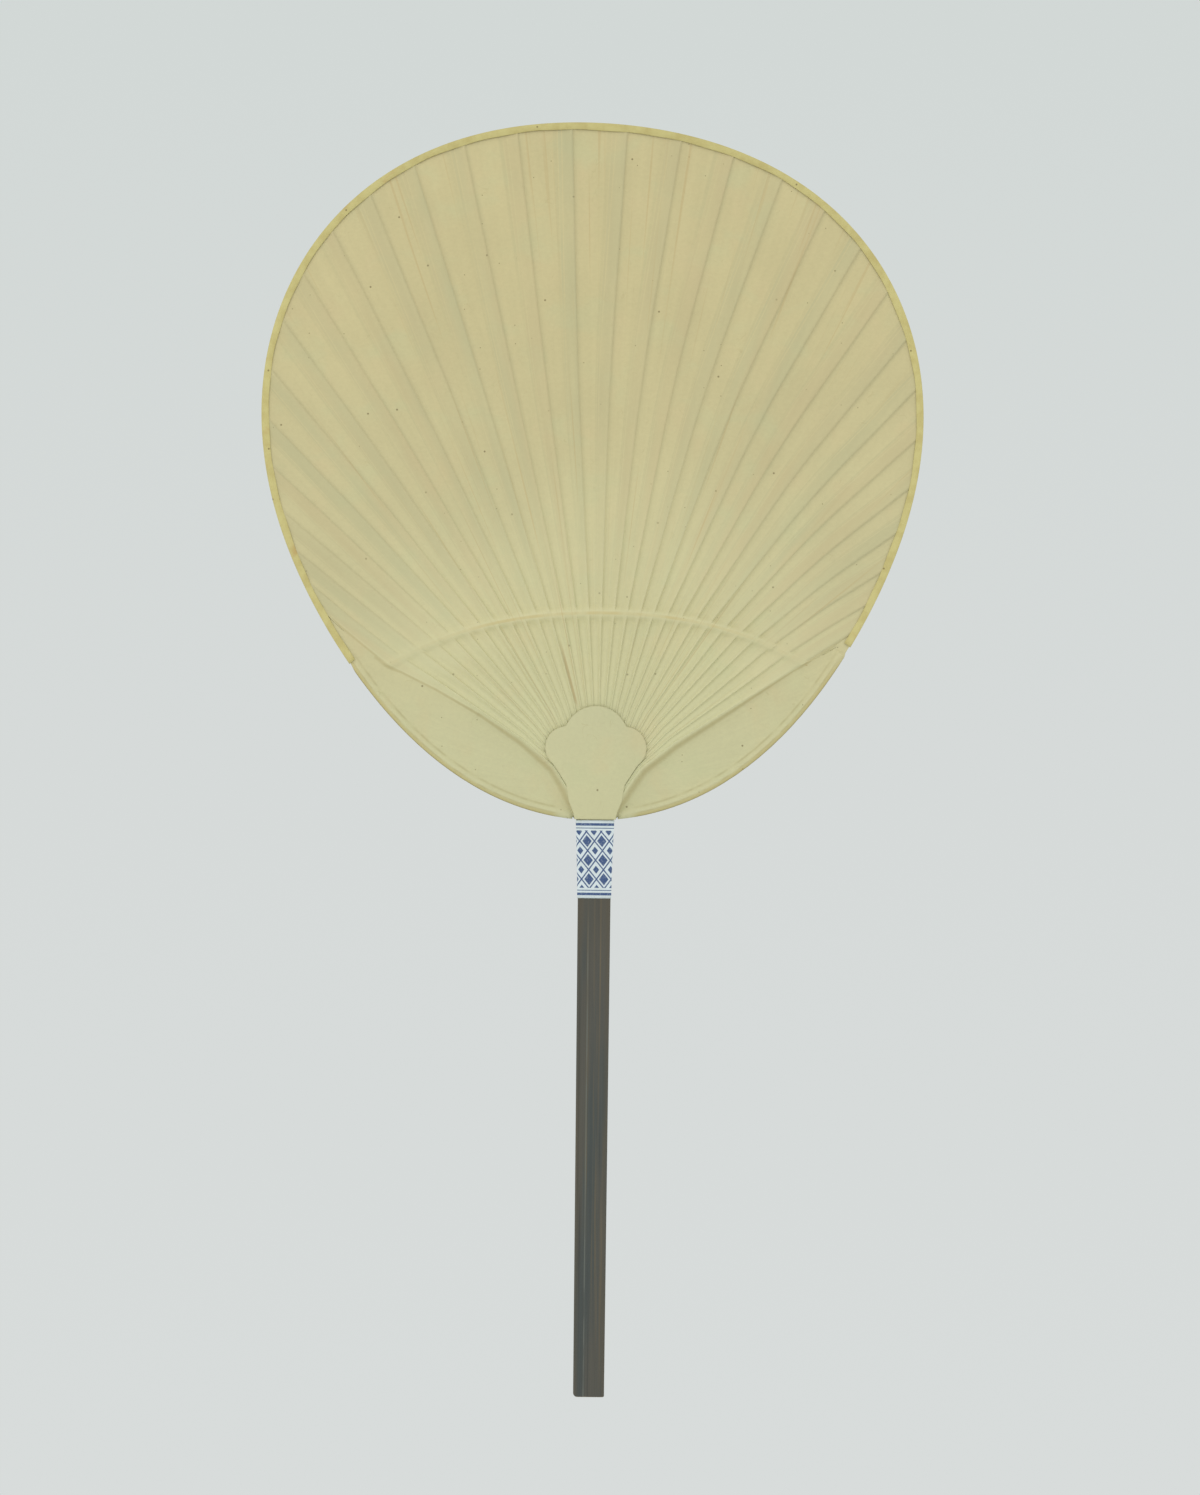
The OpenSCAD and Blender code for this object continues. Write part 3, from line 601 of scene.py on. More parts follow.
def patch_outline():
    """Cloud outline of the neck patch: two side lobes and a top lobe on a stem, as one ring of points."""
    top = np.array([0.0, LABEL_TOP + PATCH_H - PATCH_TOP_R])
    lobe = np.array([NECK_W / 2 + 2.6, SPREAD_Z + 2 * PATCH_SIDE_R])
    stem = [(THROAT_W / 2 + 0.7, LABEL_TOP + 0.3), (THROAT_W / 2 + 1.3, LABEL_TOP + 3),
            (NECK_W / 2 + 1.4, NECK_TOP + 1), (NECK_W / 2 + 2.5, SPREAD_Z + 2)]
    # the side lobe's arc runs from the stem round to its meeting with the top lobe
    dist = np.hypot(*(top - lobe))
    along = (dist ** 2 + PATCH_SIDE_R ** 2 - PATCH_TOP_R ** 2) / (2 * dist)
    off = math.sqrt(PATCH_SIDE_R ** 2 - along ** 2)
    unit = (top - lobe) / dist
    notch = lobe + unit * along + np.array([unit[1], -unit[0]]) * off
    right = [np.array(p) for p in stem]
    right += arc_points(lobe, PATCH_SIDE_R, -1.0, math.atan2(*(notch - lobe)[::-1]), 40)
    right += arc_points(top, PATCH_TOP_R, math.atan2(*(notch - top)[::-1]), math.pi / 2, 32)[1:]
    right = np.array(right)
    return np.vstack([right, right[::-1][1:] * [-1, 1]])


def smooth_ring(ring, passes, keep):
    """Rounds a ring's corners by averaging, and leaves its first and last few points where they are."""
    ring = ring.copy()
    for _ in range(passes):
        before, after = ring[keep - 1:-keep - 1], ring[keep + 1:len(ring) - keep + 1]
        ring[keep:-keep] = (before + 2 * ring[keep:-keep] + after) / 4
    return ring


def neck_patch(name, face):
    """Patch on one face, rippled by the ribs: rings that shrink to a middle point, and a flat underside."""
    ring = smooth_ring(patch_outline(), 3, 4)
    seat = STRIP_T / 2 + PAPER_T + PATCH_GAP
    centre = np.array([0.0, SPREAD_Z + 12])
    points, edge = [], []
    m, rings = len(ring), len(PATCH_RINGS)
    for n, size in enumerate(PATCH_RINGS):
        for x, z in centre + (ring - centre) * size:
            ripple = 0.03 * math.cos(2 * math.pi * x / 2.1) * min(1, n / 4)
            points.append((x, -face * (seat + PATCH_T - (0.06 if n == 0 else 0.0) + ripple), z))
        edge += [1 - n / (rings - 1) if n > 1 else 1.0] * m
    middle, base = len(points), len(points) + 1
    points.append((centre[0], -face * (seat + PATCH_T), centre[1]))
    points += [(x, -face * seat, z) for x, z in ring]
    edge += [0.0] + [1.0] * m
    faces = grid_faces(rings, m, closed=True)
    faces += [((rings - 1) * m + j, (rings - 1) * m + (j + 1) % m, middle) for j in range(m)]
    faces += [(j, base + j, base + (j + 1) % m, (j + 1) % m) for j in range(m)]
    faces.append(tuple(base + j for j in range(m)))
    obj = add_mesh(name, points, faces, attributes={"edge": edge})
    bm = bmesh.new()
    bm.from_mesh(obj.data)
    bmesh.ops.recalc_face_normals(bm, faces=bm.faces)
    bm.to_mesh(obj.data)
    bm.free()
    return obj


def strip_half(z):
    """Half width of the bamboo strip at a height."""
    if z <= GRIP_LEN:
        return mix(BUTT_W, GRIP_W, z / GRIP_LEN) / 2
    if z <= LABEL_TOP:
        return mix(GRIP_W, THROAT_W, ((z - GRIP_LEN) / LABEL_H) ** 1.5) / 2
    return mix(THROAT_W, NECK_W, ((z - LABEL_TOP) / NECK_H) ** 1.3) / 2


def strip_section(half, grow, corner, steps=5):
    """Ring of points (x, y) round the strip: rounded skin in front, flat behind, corners rounded."""
    half, t = half + grow, STRIP_T / 2 + grow
    ring = []
    for cx, cy, first in ((half, -t, -90), (half, t, 0), (-half, t, 90), (-half, -t, 180)):
        for j in range(steps + 1):
            a = first + 90 * j / steps
            x = cx - math.copysign(corner, cx) + corner * cosd(a)
            y = cy - math.copysign(corner, cy) + corner * sind(a)
            ring.append([x, y])
    front = [[x, -t] for x in np.linspace(-half + corner, half - corner, 10)[1:-1]]
    back = [[x, t] for x in np.linspace(half - corner, -half + corner, 8)[1:-1]]
    ring = ring[:2 * steps + 2] + back + ring[2 * steps + 2:] + front
    for p in ring:
        if p[1] < 0:
            p[1] += p[0] ** 2 / (2 * SKIN_R) * min(1, -p[1] / t)
    return np.array(ring)


def seam_ring(ring):
    """The ring from the middle of the back, all the way round and back to the same point."""
    first = int(np.argmax(ring[:, 1] - 0.01 * np.abs(ring[:, 0])))
    turned = np.roll(ring, -first, axis=0)
    return np.vstack([turned, turned[:1]])


def label_band():
    """Printed band round the strip, with its seam at the back."""
    points, turn, rise = [], [], []

    def add_ring(z, grow, corner, printed):
        ring = seam_ring(strip_section(strip_half(z), grow, corner))
        lengths = np.concatenate([[0], np.cumsum(np.hypot(*np.diff(ring, axis=0).T))])
        points.extend((x, y, z) for x, y in ring)
        turn.extend(lengths * printed)
        rise.extend([z - GRIP_LEN] * len(ring))
        return len(ring)

    for i in range(LABEL_ROWS + 1):
        n = add_ring(mix(GRIP_LEN, LABEL_TOP, i / LABEL_ROWS), LABEL_ROOM + LABEL_T, 0.75, 1)
    inner, top = len(points), LABEL_ROWS * n
    for z in (GRIP_LEN, LABEL_TOP):
        add_ring(z, LABEL_ROOM, 0.6, 0)
    faces = grid_faces(LABEL_ROWS + 1, n)
    faces += [(j, inner + j, inner + j + 1, j + 1) for j in range(n - 1)]
    faces += [(top + j + 1, inner + n + j + 1, inner + n + j, top + j) for j in range(n - 1)]
    return add_mesh("label_band_printed", points, faces, attributes={"turn": turn, "rise": rise})


# Materials
UPPER_FADE, LOWER_FADE = (0.29, 0.43), (0.30, 0.235)      # heights over which the top and low hues come in
OPEN_FADE = (0.285, 0.272)                   # and over which the bow's marks begin, all in metres
STAIN_TOP, STAIN_FOOT = (-15.2, 289.9), (-6.9, 259.7)     # ends of the brown streak above the neck patch
STAIN_HALF = 0.75                            # and its half width


def specks(paint, size, share, radius, seed):
    """Mask of small dark specks: one cell in a few holds a dot of a radius, all in millimetres."""
    flat = paint.vector(paint.times(paint.x, 1 / (size * MM)), paint.times(paint.z, 1 / (size * MM)))
    shifted = paint.node("ShaderNodeVectorMath", {0: flat, 1: (seed, seed * 2.7, 0)},
                         operation="ADD").outputs[0]
    cells = paint.node("ShaderNodeTexVoronoi", {"Vector": shifted, "Scale": 1.0, "Randomness": 1.0},
                       voronoi_dimensions="2D", feature="F1")
    chance = paint.node("ShaderNodeSeparateColor", {0: cells.outputs["Color"]}).outputs[0]
    chosen = paint.math("LESS_THAN", chance, share)
    return paint.times(chosen, paint.fit(cells.outputs["Distance"], radius / size, 0.4 * radius / size))


def stain(paint, start, end, half):
    """Mask of a thin stain on the front between two points (x, z), in millimetres."""
    way = np.subtract(end, start) * MM
    length = float(np.hypot(*way))
    ux, uz = float(way[0]) / length, float(way[1]) / length
    dx, dz = paint.math("SUBTRACT", paint.x, start[0] * MM), paint.math("SUBTRACT", paint.z, start[1] * MM)
    along = paint.math("ADD", paint.times(dx, ux), paint.times(dz, uz))
    off = paint.size(paint.math("SUBTRACT", paint.times(dx, uz), paint.times(dz, ux)))
    return paint.times(paint.fit(off, half * MM, 0.2 * half * MM), paint.math("LESS_THAN", paint.y, 0.0),
                       paint.fit(along, 0.0, 0.45 * length), paint.fit(along, length, 0.85 * length))


def paper_colour(paint, base=PAPER_HUE):
    """Colour and grain height of aged handmade paper: clouds, fine mottling, fibres and specks of bark."""
    colour = paint.blend(paint.fit(paint.z, *UPPER_FADE), lin(base), lin(PAPER_TOP_HUE))
    colour = paint.blend(paint.fit(paint.z, *LOWER_FADE), colour, lin(PAPER_LOW_HUE))
    clouds = paint.grain(40, 40, 40, detail=3.0)
    colour = paint.shade(colour, paint.fit(clouds, 0.3, 0.7, 0.965, 1.035, smooth=False))
    warm = paint.grain(14, 14, 20, detail=3.0)
    colour = paint.blend(paint.fit(warm, 0.5, 0.75, 0, 0.35), colour, lin(CLOUD_WARM_HUE))
    cool = paint.grain(17, 17, 13, detail=2.0, distortion=0.5)
    colour = paint.blend(paint.fit(cool, 0.5, 0.78, 0, 0.30), colour, lin(CLOUD_COOL_HUE))
    fine = paint.grain(1.6, 1.6, 1.2, detail=4.0, roughness=0.65)
    colour = paint.shade(colour, paint.fit(fine, 0.25, 0.75, 0.965, 1.035, smooth=False))
    bark = paint.math("MAXIMUM", specks(paint, 11, 0.085, 0.5, 3.0), specks(paint, 6.5, 0.07, 0.27, 11.0))
    colour = paint.blend(paint.times(bark, 0.75), colour, lin(BARK_HUE))
    # short fibres: the edges of long cells, in places that a slow noise bends out of line
    push = paint.node("ShaderNodeVectorMath", {0: paint.colour_noise(9), 1: (0.006,) * 3},
                      operation="MULTIPLY")
    bent = paint.node("ShaderNodeVectorMath", {0: paint.place, 1: paint.colour_noise(25), 2: push.outputs[0]},
                      operation="MULTIPLY_ADD").outputs[0]
    edges = paint.node("ShaderNodeTexVoronoi", {"Vector": paint.scaled(bent, (3.2, 9.0, 14.0)), "Scale": 1.0},
                       feature="DISTANCE_TO_EDGE").outputs["Distance"]
    picked = paint.fit(paint.grain(7, 7, 7, detail=1.0), 0.6, 0.68)
    colour = paint.blend(paint.times(paint.fit(edges, 0.02, 0.008), picked, 0.22), colour, lin(FIBRE_HUE))
    return colour, fine


def sheet_material():
    """Handmade paper that shows the ribs, the thread and the bow under it, with painted shade beside the
    ribs' raised edges and the outermost ribs, and painted light on the folds near the neck.
    """
    paint = Paint("handmade_paper_over_ribs")
    colour, fine = paper_colour(paint)
    band, ribbed = paint.attribute("band"), paint.attribute("ribbed")
    dx = paint.math("SUBTRACT", paint.x, SPREAD_SHIFT * MM)
    dz = paint.math("SUBTRACT", paint.z, SPREAD_Z * MM)
    far = paint.math("SQRT", paint.math("ADD", paint.times(dx, dx), paint.times(dz, dz)))
    angle = paint.math("ARCTAN2", dx, dz)
    streak = paint.noise(paint.vector(paint.times(angle, 60), paint.times(far, 14)),
                         detail=3.0, roughness=0.6)
    slow = paint.noise(paint.vector(paint.times(angle, 16), paint.times(far, 22), 3.0), detail=2.0)
    # the rib behind the paper: a slightly darker band, warm on some ribs and grey on others
    turn = paint.noise(paint.vector(paint.times(angle, 9), 7.0), detail=1.0)
    rib_tint = paint.blend(paint.fit(turn, 0.42, 0.58), lin(RIB_WARM_HUE), lin(RIB_GREY_HUE))
    on_rib = paint.times(paint.fit(band, 0.0, 0.12), paint.fit(band, 1.12, 1.0), ribbed)
    amount = paint.times(on_rib, paint.fit(slow, 0.25, 0.7, 0.35, 1.0), paint.fit(far, 0.045, 0.11), 0.6)
    colour = paint.blend(amount, colour, rib_tint)
    # painted shade: a thin dark line where the paper falls off each rib's raised edge
    line = paint.times(paint.fit(band, 1.0, 1.6), paint.fit(band, 3.0, 2.2), ribbed,
                       paint.fit(streak, 0.3, 0.65, 0.15, 1.0), 0.2)
    colour = paint.blend(line, colour, lin(RIB_FALL_SHADE_HUE))
    # painted light on the folds near the neck, to offset the shade in their valleys, and tan streaks run
    # along the ribs
    fold_light = paint.times(ribbed, paint.fit(far, 0.14, 0.06, 0.0, 1.0))
    colour = paint.shade(colour, paint.math("ADD", paint.fit(streak, 0.25, 0.75, 0.975, 1.025, smooth=False),
                                            paint.times(fold_light, 0.1)))
    colour = paint.blend(paint.times(fold_light, 0.3), colour, lin(FOLD_LIGHT_HUE))
    tan = paint.noise(paint.vector(paint.times(angle, 95), paint.times(far, 6), 5.0), detail=2.0)
    colour = paint.blend(paint.times(paint.fit(tan, 0.62, 0.72, 0, 0.4), ribbed), colour, lin(TAN_STREAK_HUE))
    smudge = paint.times(stain(paint, STAIN_TOP, STAIN_FOOT, STAIN_HALF),
                         paint.fit(streak, 0.3, 0.6, 0.35, 1.0), 0.5)
    colour = paint.blend(smudge, colour, lin(STAIN_HUE))
    # the thread under the paper
    patchy = paint.grain(6, 6, 6, detail=2.0)
    rubbed = paint.times(paint.fit(paint.size(paint.attribute("lace")), 0.85, 0.3),
                         paint.fit(patchy, 0.3, 0.6, 0.3, 1.0),
                         paint.fit(paint.size(angle), 0.85, 0.5, 0.2, 1.0), 0.5)
    colour = paint.blend(rubbed, colour, lin(RUBBED_HUE))
    # painted shade on the slope beside the outermost ribs, and creases and a browned rim along the bow
    slope = paint.times(paint.attribute("slope"), paint.fit(far, 0.12, 0.03, 0.8, 1.0), 0.45)
    colour = paint.blend(slope, colour, lin(SLOPE_SHADE_HUE))
    inset = paint.attribute("inset")
    open_part = paint.times(paint.math("SUBTRACT", 1.0, ribbed), paint.fit(paint.z, *OPEN_FADE),
                            paint.fit(paint.size(paint.x), 12.5 * MM, 17 * MM))
    crease = paint.math("MAXIMUM", paint.times(paint.fit(inset, 0.9, 1.4), paint.fit(inset, 2.0, 1.5)),
                        paint.times(paint.fit(inset, 3.0, 3.6), paint.fit(inset, 4.3, 3.7)))
    crease = paint.times(crease, paint.fit(patchy, 0.35, 0.6, 0.2, 1.0), open_part, 0.4)
    colour = paint.blend(crease, colour, lin(CREASE_HUE))
    colour = paint.blend(paint.times(paint.fit(inset, 2.0, 0.6), open_part, 0.6), colour, lin(RIM_HUE))
    colour = paint.blend(paint.times(paint.fit(inset, 0.5, 0.0), open_part, 0.6), colour, lin(RIM_EDGE_HUE))
    normal = paint.bump(fine, 0.25, 0.12)
    creased = paint.grain(5, 5, 9, detail=4.0, roughness=0.55, distortion=0.6)
    return paint.finish(colour, 0.92, paint.bump(creased, 0.25, 0.5, normal), Specular_IOR_Level=0.2)


def plain_paper_material(name, base):
    """The same paper without ribs, a little darker at its cut edge."""
    paint = Paint(name)
    colour, fine = paper_colour(paint, base)
    colour = paint.blend(paint.fit(paint.attribute("edge"), 0.9, 1.0, 0, 0.1), colour, lin(PATCH_EDGE_HUE))
    return paint.finish(colour, 0.9, paint.bump(fine, 0.25, 0.12), Specular_IOR_Level=0.2)


def tape_material():
    """Yellowed gilt paper with rust-brown blotches, browner along the fold and darker towards the top."""
    paint = Paint("gilt_paper_tape")
    blotch = paint.grain(5, 5, 5, detail=4.0, roughness=0.6)
    colour = paint.blend(paint.fit(blotch, 0.35, 0.7), lin(TAPE_HUE), lin(TAPE_BLOTCH_HUE))
    rust = paint.grain(16, 16, 16, detail=3.0, distortion=1.0)
    colour = paint.blend(paint.fit(rust, 0.62, 0.78, 0, 0.55), colour, lin(TAPE_RUST_HUE))
    colour = paint.blend(paint.fit(paint.attribute("across"), 0.5, 0.0, 0, 0.12), colour, lin(TAPE_FOLD_HUE))
    colour = paint.shade(colour, paint.fit(paint.z, 0.40, 0.478, 1.0, 0.95))
    colour = paint.blend(paint.times(specks(paint, 9, 0.3, 0.5, 5.0), 0.7), colour, lin(TAPE_SPECK_HUE))
    fine = paint.grain(0.9, 0.9, 0.9, detail=3.0)
    return paint.finish(colour, 0.62, paint.bump(fine, 0.3, 0.1), Specular_IOR_Level=0.35)


RULES = ((1.6, 0.5), (3.0, 0.15))            # printed rules: distance from the label's edge, and half width
LOZENGE_W, LOZENGE_H, FIELD_EDGE = 5.6, 7.2, 3.9      # the lozenges, and the lattice's distance from the edge


def label_material():
    """White label with a printed lattice of lozenges between double rules, in navy."""
    paint = Paint("printed_label_paper")
    turn, rise = paint.attribute("turn"), paint.attribute("rise")
    wear = paint.grain(0.5, 0.5, 0.5, detail=3.0)
    ink = 0.0
    for edge, half in RULES:
        for middle in (edge, LABEL_H - edge):
            rule = paint.fit(paint.size(paint.math("SUBTRACT", rise, middle)), half + 0.06, half - 0.06)
            ink = paint.math("MAXIMUM", ink, rule)

    def fold(value, size):
        """Distance from the nearest whole multiple, as a share of half the size."""
        return paint.times(paint.math("PINGPONG", value, size / 2), 2 / size)

    lozenge = paint.math("ADD", fold(turn, LOZENGE_W), fold(rise, LOZENGE_H))
    lines = paint.fit(paint.size(paint.math("SUBTRACT", lozenge, 1.0)), 0.13, 0.09)
    hearts = paint.math("MAXIMUM", paint.fit(lozenge, 0.66, 0.62), paint.fit(lozenge, 1.55, 1.6))
    lattice = paint.times(paint.math("MAXIMUM", lines, hearts), paint.math("GREATER_THAN", rise, FIELD_EDGE),
                          paint.math("LESS_THAN", rise, LABEL_H - FIELD_EDGE))
    ink = paint.times(paint.math("MAXIMUM", ink, lattice), paint.fit(wear, 0.3, 0.5, 0.75, 0.97))
    mottled = paint.grain(4, 4, 4, detail=3.0)
    ground = paint.blend(paint.fit(mottled, 0.4, 0.75, 0, 0.5), lin(LABEL_HUE), lin(LABEL_DULL_HUE))
    colour = paint.blend(ink, ground, lin(NAVY_HUE))
    return paint.finish(colour, 0.7, paint.bump(wear, 0.15, 0.06), Specular_IOR_Level=0.3)


SCRATCH_LEFT = 2.1                           # the scratch's distance left of the handle's middle
RIB_FADE = (0.20, 0.23)                      # heights in metres over which the skin gives way to split ribs


def bamboo_material():
    """Smoked bamboo: long fibres and darker streaks along the handle, browner edges, and bare split ribs."""
    paint = Paint("smoked_bamboo")
    fibres = paint.grain(0.35, 0.5, 45, detail=4.0, roughness=0.6)
    streaks = paint.grain(1.5, 1.8, 120, detail=3.0, roughness=0.55)
    broad = paint.grain(5, 8, 70, detail=2.0)
    colour = paint.blend(paint.fit(broad, 0.35, 0.65), lin(BAMBOO_HUE), lin(BAMBOO_BROAD_HUE))
    colour = paint.blend(paint.fit(streaks, 0.54, 0.72, 0, 0.6), colour, lin(BAMBOO_STREAK_HUE))
    colour = paint.blend(paint.fit(streaks, 0.46, 0.28, 0, 0.6), colour, lin(BAMBOO_DARK_HUE))
    colour = paint.shade(colour, paint.fit(fibres, 0.25, 0.75, 0.86, 1.12, smooth=False))
    # browner under the label and along the edges, with one pale line where the skin is scratched
    edges = paint.fit(paint.size(paint.x), 3.6 * MM, 5.6 * MM, 0, 0.45)
    colour = paint.blend(edges, colour, lin(BAMBOO_EDGE_HUE))
    near_label = paint.fit(paint.z, (GRIP_LEN - 34) * MM, GRIP_LEN * MM, 0, 0.45)
    colour = paint.blend(near_label, colour, lin(BAMBOO_TOP_HUE))
    off = paint.size(paint.math("ADD", paint.x, SCRATCH_LEFT * MM))
    broken = paint.fit(paint.grain(30, 30, 24, detail=2.0), 0.36, 0.55, 0.2, 0.85)
    scratch = paint.times(paint.fit(off, 0.32 * MM, 0.1 * MM), broken, paint.math("LESS_THAN", paint.y, 0.0),
                          paint.fit(paint.z, GRIP_LEN * MM, (GRIP_LEN - 30) * MM))
    colour = paint.blend(scratch, colour, lin(SCRATCH_HUE))
    colour = paint.blend(paint.fit(paint.z, *RIB_FADE), colour, lin(RIB_SPLIT_HUE))
    # pores in the sawn end
    cells = {"Vector": paint.scaled(paint.place, (0.55, 0.55, 0.55)), "Scale": 1.0}
    pores = paint.node("ShaderNodeTexVoronoi", cells, feature="F1").outputs["Distance"]
    sawn = paint.blend(paint.fit(pores, 0.2, 0.45), lin(PORE_HUE), lin(END_GRAIN_HUE))
    colour = paint.blend(paint.math("LESS_THAN", paint.z, 0.15 * MM), colour, sawn)
    return paint.finish(colour, 0.55, paint.bump(fibres, 0.35, 0.12), Specular_IOR_Level=0.4)


def bow_material():
    paint = Paint("split_bamboo_bow")
    fibres = paint.grain(3, 0.4, 3, detail=3.0)
    colour = paint.blend(paint.fit(fibres, 0.35, 0.7), lin(BOW_DARK_HUE), lin(BOW_PALE_HUE))
    return paint.finish(colour, 0.6, paint.bump(fibres, 0.3, 0.15), Specular_IOR_Level=0.4)


def thread_material():
    paint = Paint("waxed_thread")
    ply = paint.grain(0.3, 0.3, 0.3, detail=2.0)
    colour = paint.blend(paint.fit(ply, 0.35, 0.65), lin(THREAD_DARK_HUE), lin(THREAD_PALE_HUE))
    return paint.finish(colour, 0.8, paint.bump(ply, 0.5, 0.1))


# The pieces
sheet = sheet_material()
for side, name, node in ((1, "paper_front_pasted", "front_paper"), (-1, "paper_back_pasted", "back_paper")):
    dress(paper(name, side), sheet, "fan_paper", node)
dress(rim_tape(), tape_material(), "rim_paper", "rim_tape")
patch_paint = plain_paper_material("patch_paper_pasted", PATCH_HUE)
dress(neck_patch("patch_front_pasted", 1), patch_paint, "patch_paper", "neck_patch_front")
dress(neck_patch("patch_back_pasted", -1), patch_paint, "patch_paper", "neck_patch_back")
dress(label_band(), label_material(), "label_paper", "label_band")
for node, material in (("bamboo_handle_and_ribs", bamboo_material()), ("bow", bow_material()),
                       ("weaving_thread", thread_material())):
    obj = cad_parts[node]
    obj.data.materials.clear()
    obj.data.materials.append(material)

# Stage, light and camera
FRAME_PX = (1200, 1495)                      # the photograph's frame
PX = 0.3785                                  # millimetres per pixel in the fan's plane
BUTT_PX = (588.5, 1396.3)                    # where the butt's middle is in the photograph
ROLL = 0.65                                  # degrees that the fan leans to the right in the frame
LENS, SENSOR = 135.0, 36.0
FLOOR_Z, FLOOR_IN, FLOOR_OUT = -160.0, 420.0, 780.0       # height, and radii where it fades out
FLOOR_SIDES, FLOOR_RINGS = 96, 8
BACK_TOP, BACK_MID, BACK_LOW = (210, 216, 214), (214, 218, 217), (216, 220, 219)
AMBIENT = 0.985                              # strength of the even light
LIGHT_SIZE, LIGHT_WATTS, AIM = 0.9, 2.8, (0, 0, 0.3)      # of both lamps, in metres and watts
KEY_PLACE, BACK_KEY_PLACE = (-1.1, -1.5, 1.35), (0.9, 1.5, 1.2)


def build_camera():
    """Straight on, at a distance where the frame's height shows the fan at the photograph's scale."""
    u, v = FRAME_PX[0] / 2 - BUTT_PX[0], BUTT_PX[1] - FRAME_PX[1] / 2
    c, s = cosd(ROLL), sind(ROLL)
    x, z = (u * c - v * s) * PX, (u * s + v * c) * PX
    distance = FRAME_PX[1] * PX / SENSOR * LENS
    data = bpy.data.cameras.new("camera")
    data.lens, data.sensor_width = LENS, SENSOR
    data.clip_start, data.clip_end = 0.05, 50
    camera = bpy.data.objects.new("camera", data)
    bpy.context.scene.collection.objects.link(camera)
    camera.matrix_world = Matrix(((c, -s, 0, x * MM), (0, 0, -1, -distance * MM), (s, c, 0, z * MM),
                                  (0, 0, 0, 1)))
    bpy.context.scene.camera = camera


def build_floor():
    """Pale disc under the fan that fades out before its edge."""
    points = [(0, 0, FLOOR_Z)]
    for i in range(1, FLOOR_RINGS + 1):
        r = FLOOR_OUT * i / FLOOR_RINGS
        turns = [360 * j / FLOOR_SIDES for j in range(FLOOR_SIDES)]
        points += [(r * cosd(turn), r * sind(turn), FLOOR_Z) for turn in turns]
    faces = [(0, 1 + j, 1 + (j + 1) % FLOOR_SIDES) for j in range(FLOOR_SIDES)]
    for a in range(1, 1 + (FLOOR_RINGS - 1) * FLOOR_SIDES, FLOOR_SIDES):
        b = a + FLOOR_SIDES
        faces += [(a + j, b + j, b + (j + 1) % FLOOR_SIDES, a + (j + 1) % FLOOR_SIDES)
                  for j in range(FLOOR_SIDES)]
    floor = add_mesh("floor", points, faces, body=None)
    material = bpy.data.materials.new("pale_floor")
    material.use_nodes = True
    nodes, links = material.node_tree.nodes, material.node_tree.links
    nodes.clear()
    out = nodes.new("ShaderNodeOutputMaterial")
    diffuse = nodes.new("ShaderNodeBsdfDiffuse")
    diffuse.inputs["Color"].default_value = lin(BACK_LOW)
    clear = nodes.new("ShaderNodeBsdfTransparent")
    place = nodes.new("ShaderNodeNewGeometry")
    flat = nodes.new("ShaderNodeVectorMath")
    flat.operation = "MULTIPLY"
    flat.inputs[1].default_value = (1, 1, 0)
    length = nodes.new("ShaderNodeVectorMath")
    length.operation = "LENGTH"
    fade = nodes.new("ShaderNodeMapRange")
    fade.interpolation_type = "SMOOTHSTEP"
    fade.inputs["From Min"].default_value = FLOOR_IN * MM
    fade.inputs["From Max"].default_value = FLOOR_OUT * MM
    blend = nodes.new("ShaderNodeMixShader")
    for socket, to in ((place.outputs["Position"], flat.inputs[0]), (flat.outputs[0], length.inputs[0]),
                       (length.outputs["Value"], fade.inputs["Value"]),
                       (fade.outputs[0], blend.inputs["Fac"]), (diffuse.outputs[0], blend.inputs[1]),
                       (clear.outputs[0], blend.inputs[2]), (blend.outputs[0], out.inputs["Surface"])):
        links.new(socket, to)
    floor.data.materials.append(material)


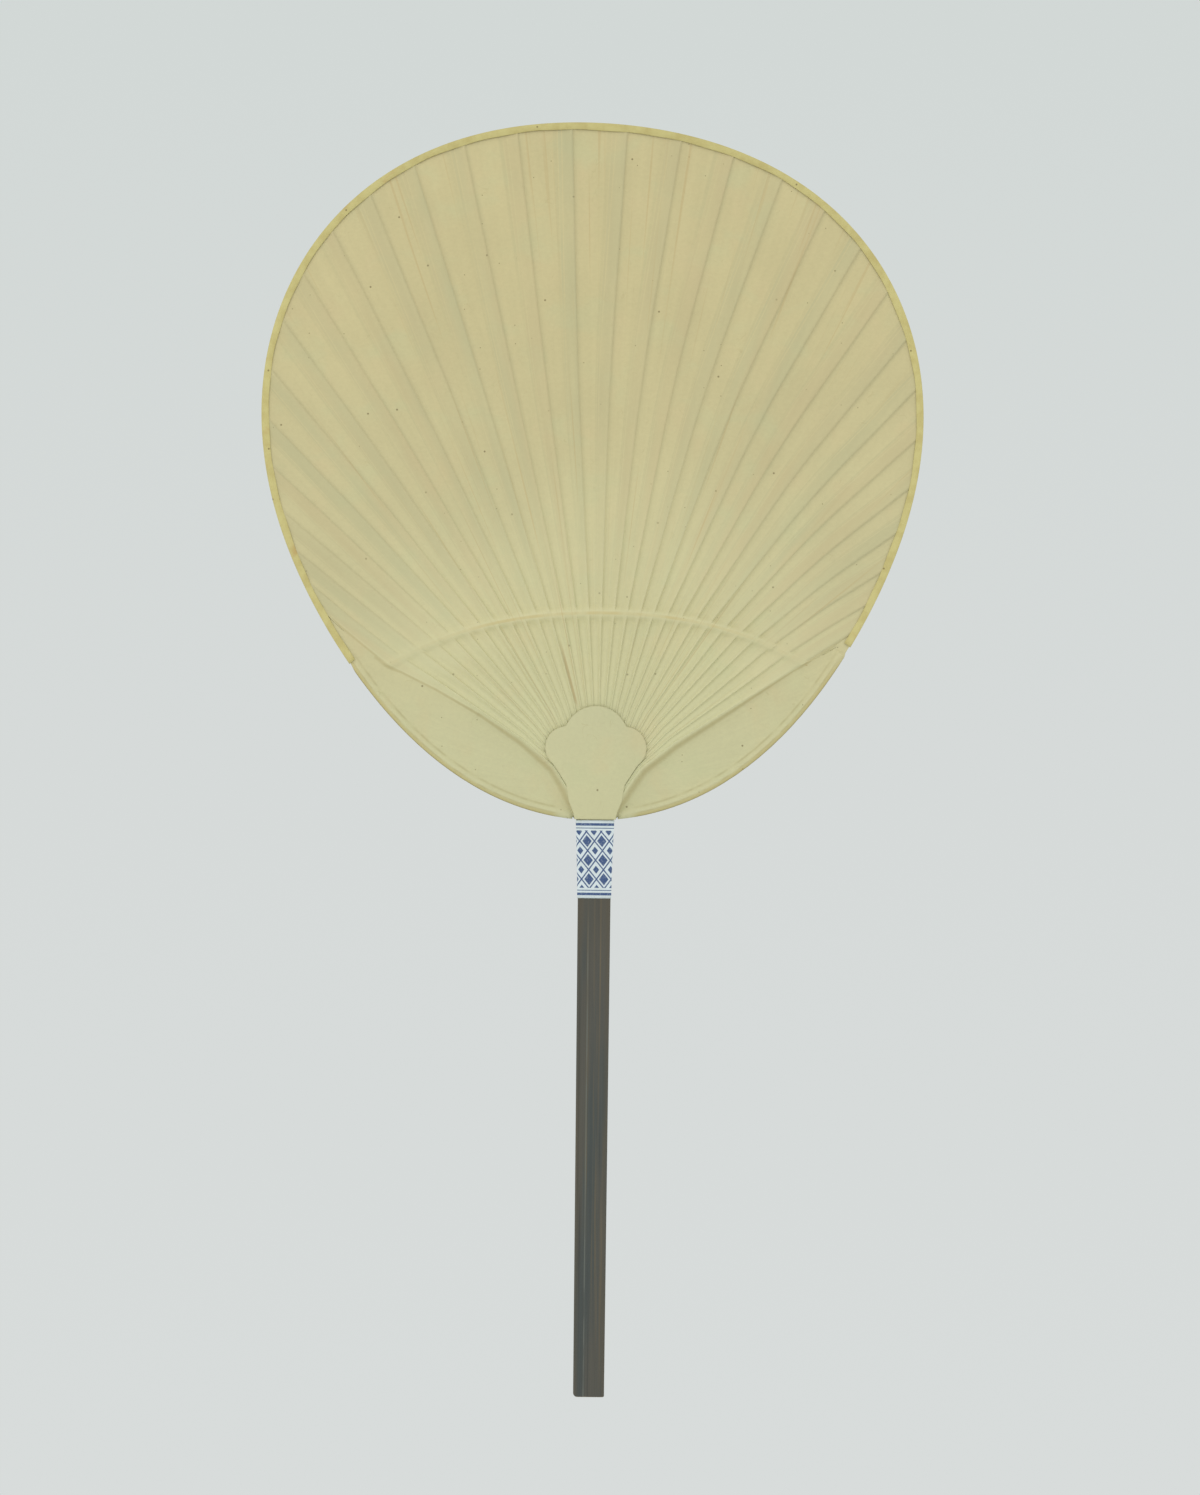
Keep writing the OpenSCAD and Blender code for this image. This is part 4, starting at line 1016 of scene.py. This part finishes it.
def build_world():
    """Even white light on the fan. Camera, glossy and transmission rays see a slow grey gradient instead."""
    world = bpy.data.worlds.new("studio")
    bpy.context.scene.world = world
    world.use_nodes = True
    nodes, links = world.node_tree.nodes, world.node_tree.links
    nodes.clear()
    out = nodes.new("ShaderNodeOutputWorld")
    soft = nodes.new("ShaderNodeBackground")
    soft.inputs["Color"].default_value = (1, 1, 1, 1)
    soft.inputs["Strength"].default_value = AMBIENT
    seen = nodes.new("ShaderNodeBackground")
    place = nodes.new("ShaderNodeTexCoord")
    split = nodes.new("ShaderNodeSeparateXYZ")
    ramp = nodes.new("ShaderNodeValToRGB")
    low, high = ramp.color_ramp.elements
    low.position, low.color = 0.0, lin(BACK_LOW)
    high.position, high.color = 1.0, lin(BACK_TOP)
    ramp.color_ramp.elements.new(0.5).color = lin(BACK_MID)
    span = nodes.new("ShaderNodeMapRange")
    reach_up = math.atan(SENSOR / 2 / LENS)
    span.inputs["From Min"].default_value, span.inputs["From Max"].default_value = -reach_up, reach_up
    blend = nodes.new("ShaderNodeMixShader")
    rays = nodes.new("ShaderNodeLightPath")
    sees_backdrop = rays.outputs["Is Camera Ray"]
    for kind in ("Is Glossy Ray", "Is Transmission Ray"):
        either = nodes.new("ShaderNodeMath")
        either.operation = "MAXIMUM"
        links.new(sees_backdrop, either.inputs[0])
        links.new(rays.outputs[kind], either.inputs[1])
        sees_backdrop = either.outputs[0]
    for socket, to in ((place.outputs["Generated"], split.inputs[0]),
                       (split.outputs["Z"], span.inputs["Value"]),
                       (span.outputs[0], ramp.inputs["Fac"]), (ramp.outputs[0], seen.inputs["Color"]),
                       (sees_backdrop, blend.inputs["Fac"]), (soft.outputs[0], blend.inputs[1]),
                       (seen.outputs[0], blend.inputs[2]), (blend.outputs[0], out.inputs["Surface"])):
        links.new(socket, to)


def build_light(name, place):
    data = bpy.data.lights.new(name, "AREA")
    data.shape, data.size, data.energy = "SQUARE", LIGHT_SIZE, LIGHT_WATTS
    light = bpy.data.objects.new(name, data)
    bpy.context.scene.collection.objects.link(light)
    light.location = place
    light.rotation_euler = (Vector(AIM) - Vector(place)).to_track_quat("-Z", "Y").to_euler()


build_camera()
build_floor()
build_world()
build_light("key", KEY_PLACE)
build_light("back_key", BACK_KEY_PLACE)

scene = bpy.context.scene
scene.view_settings.view_transform = "Standard"
bpy.context.view_layer.update()
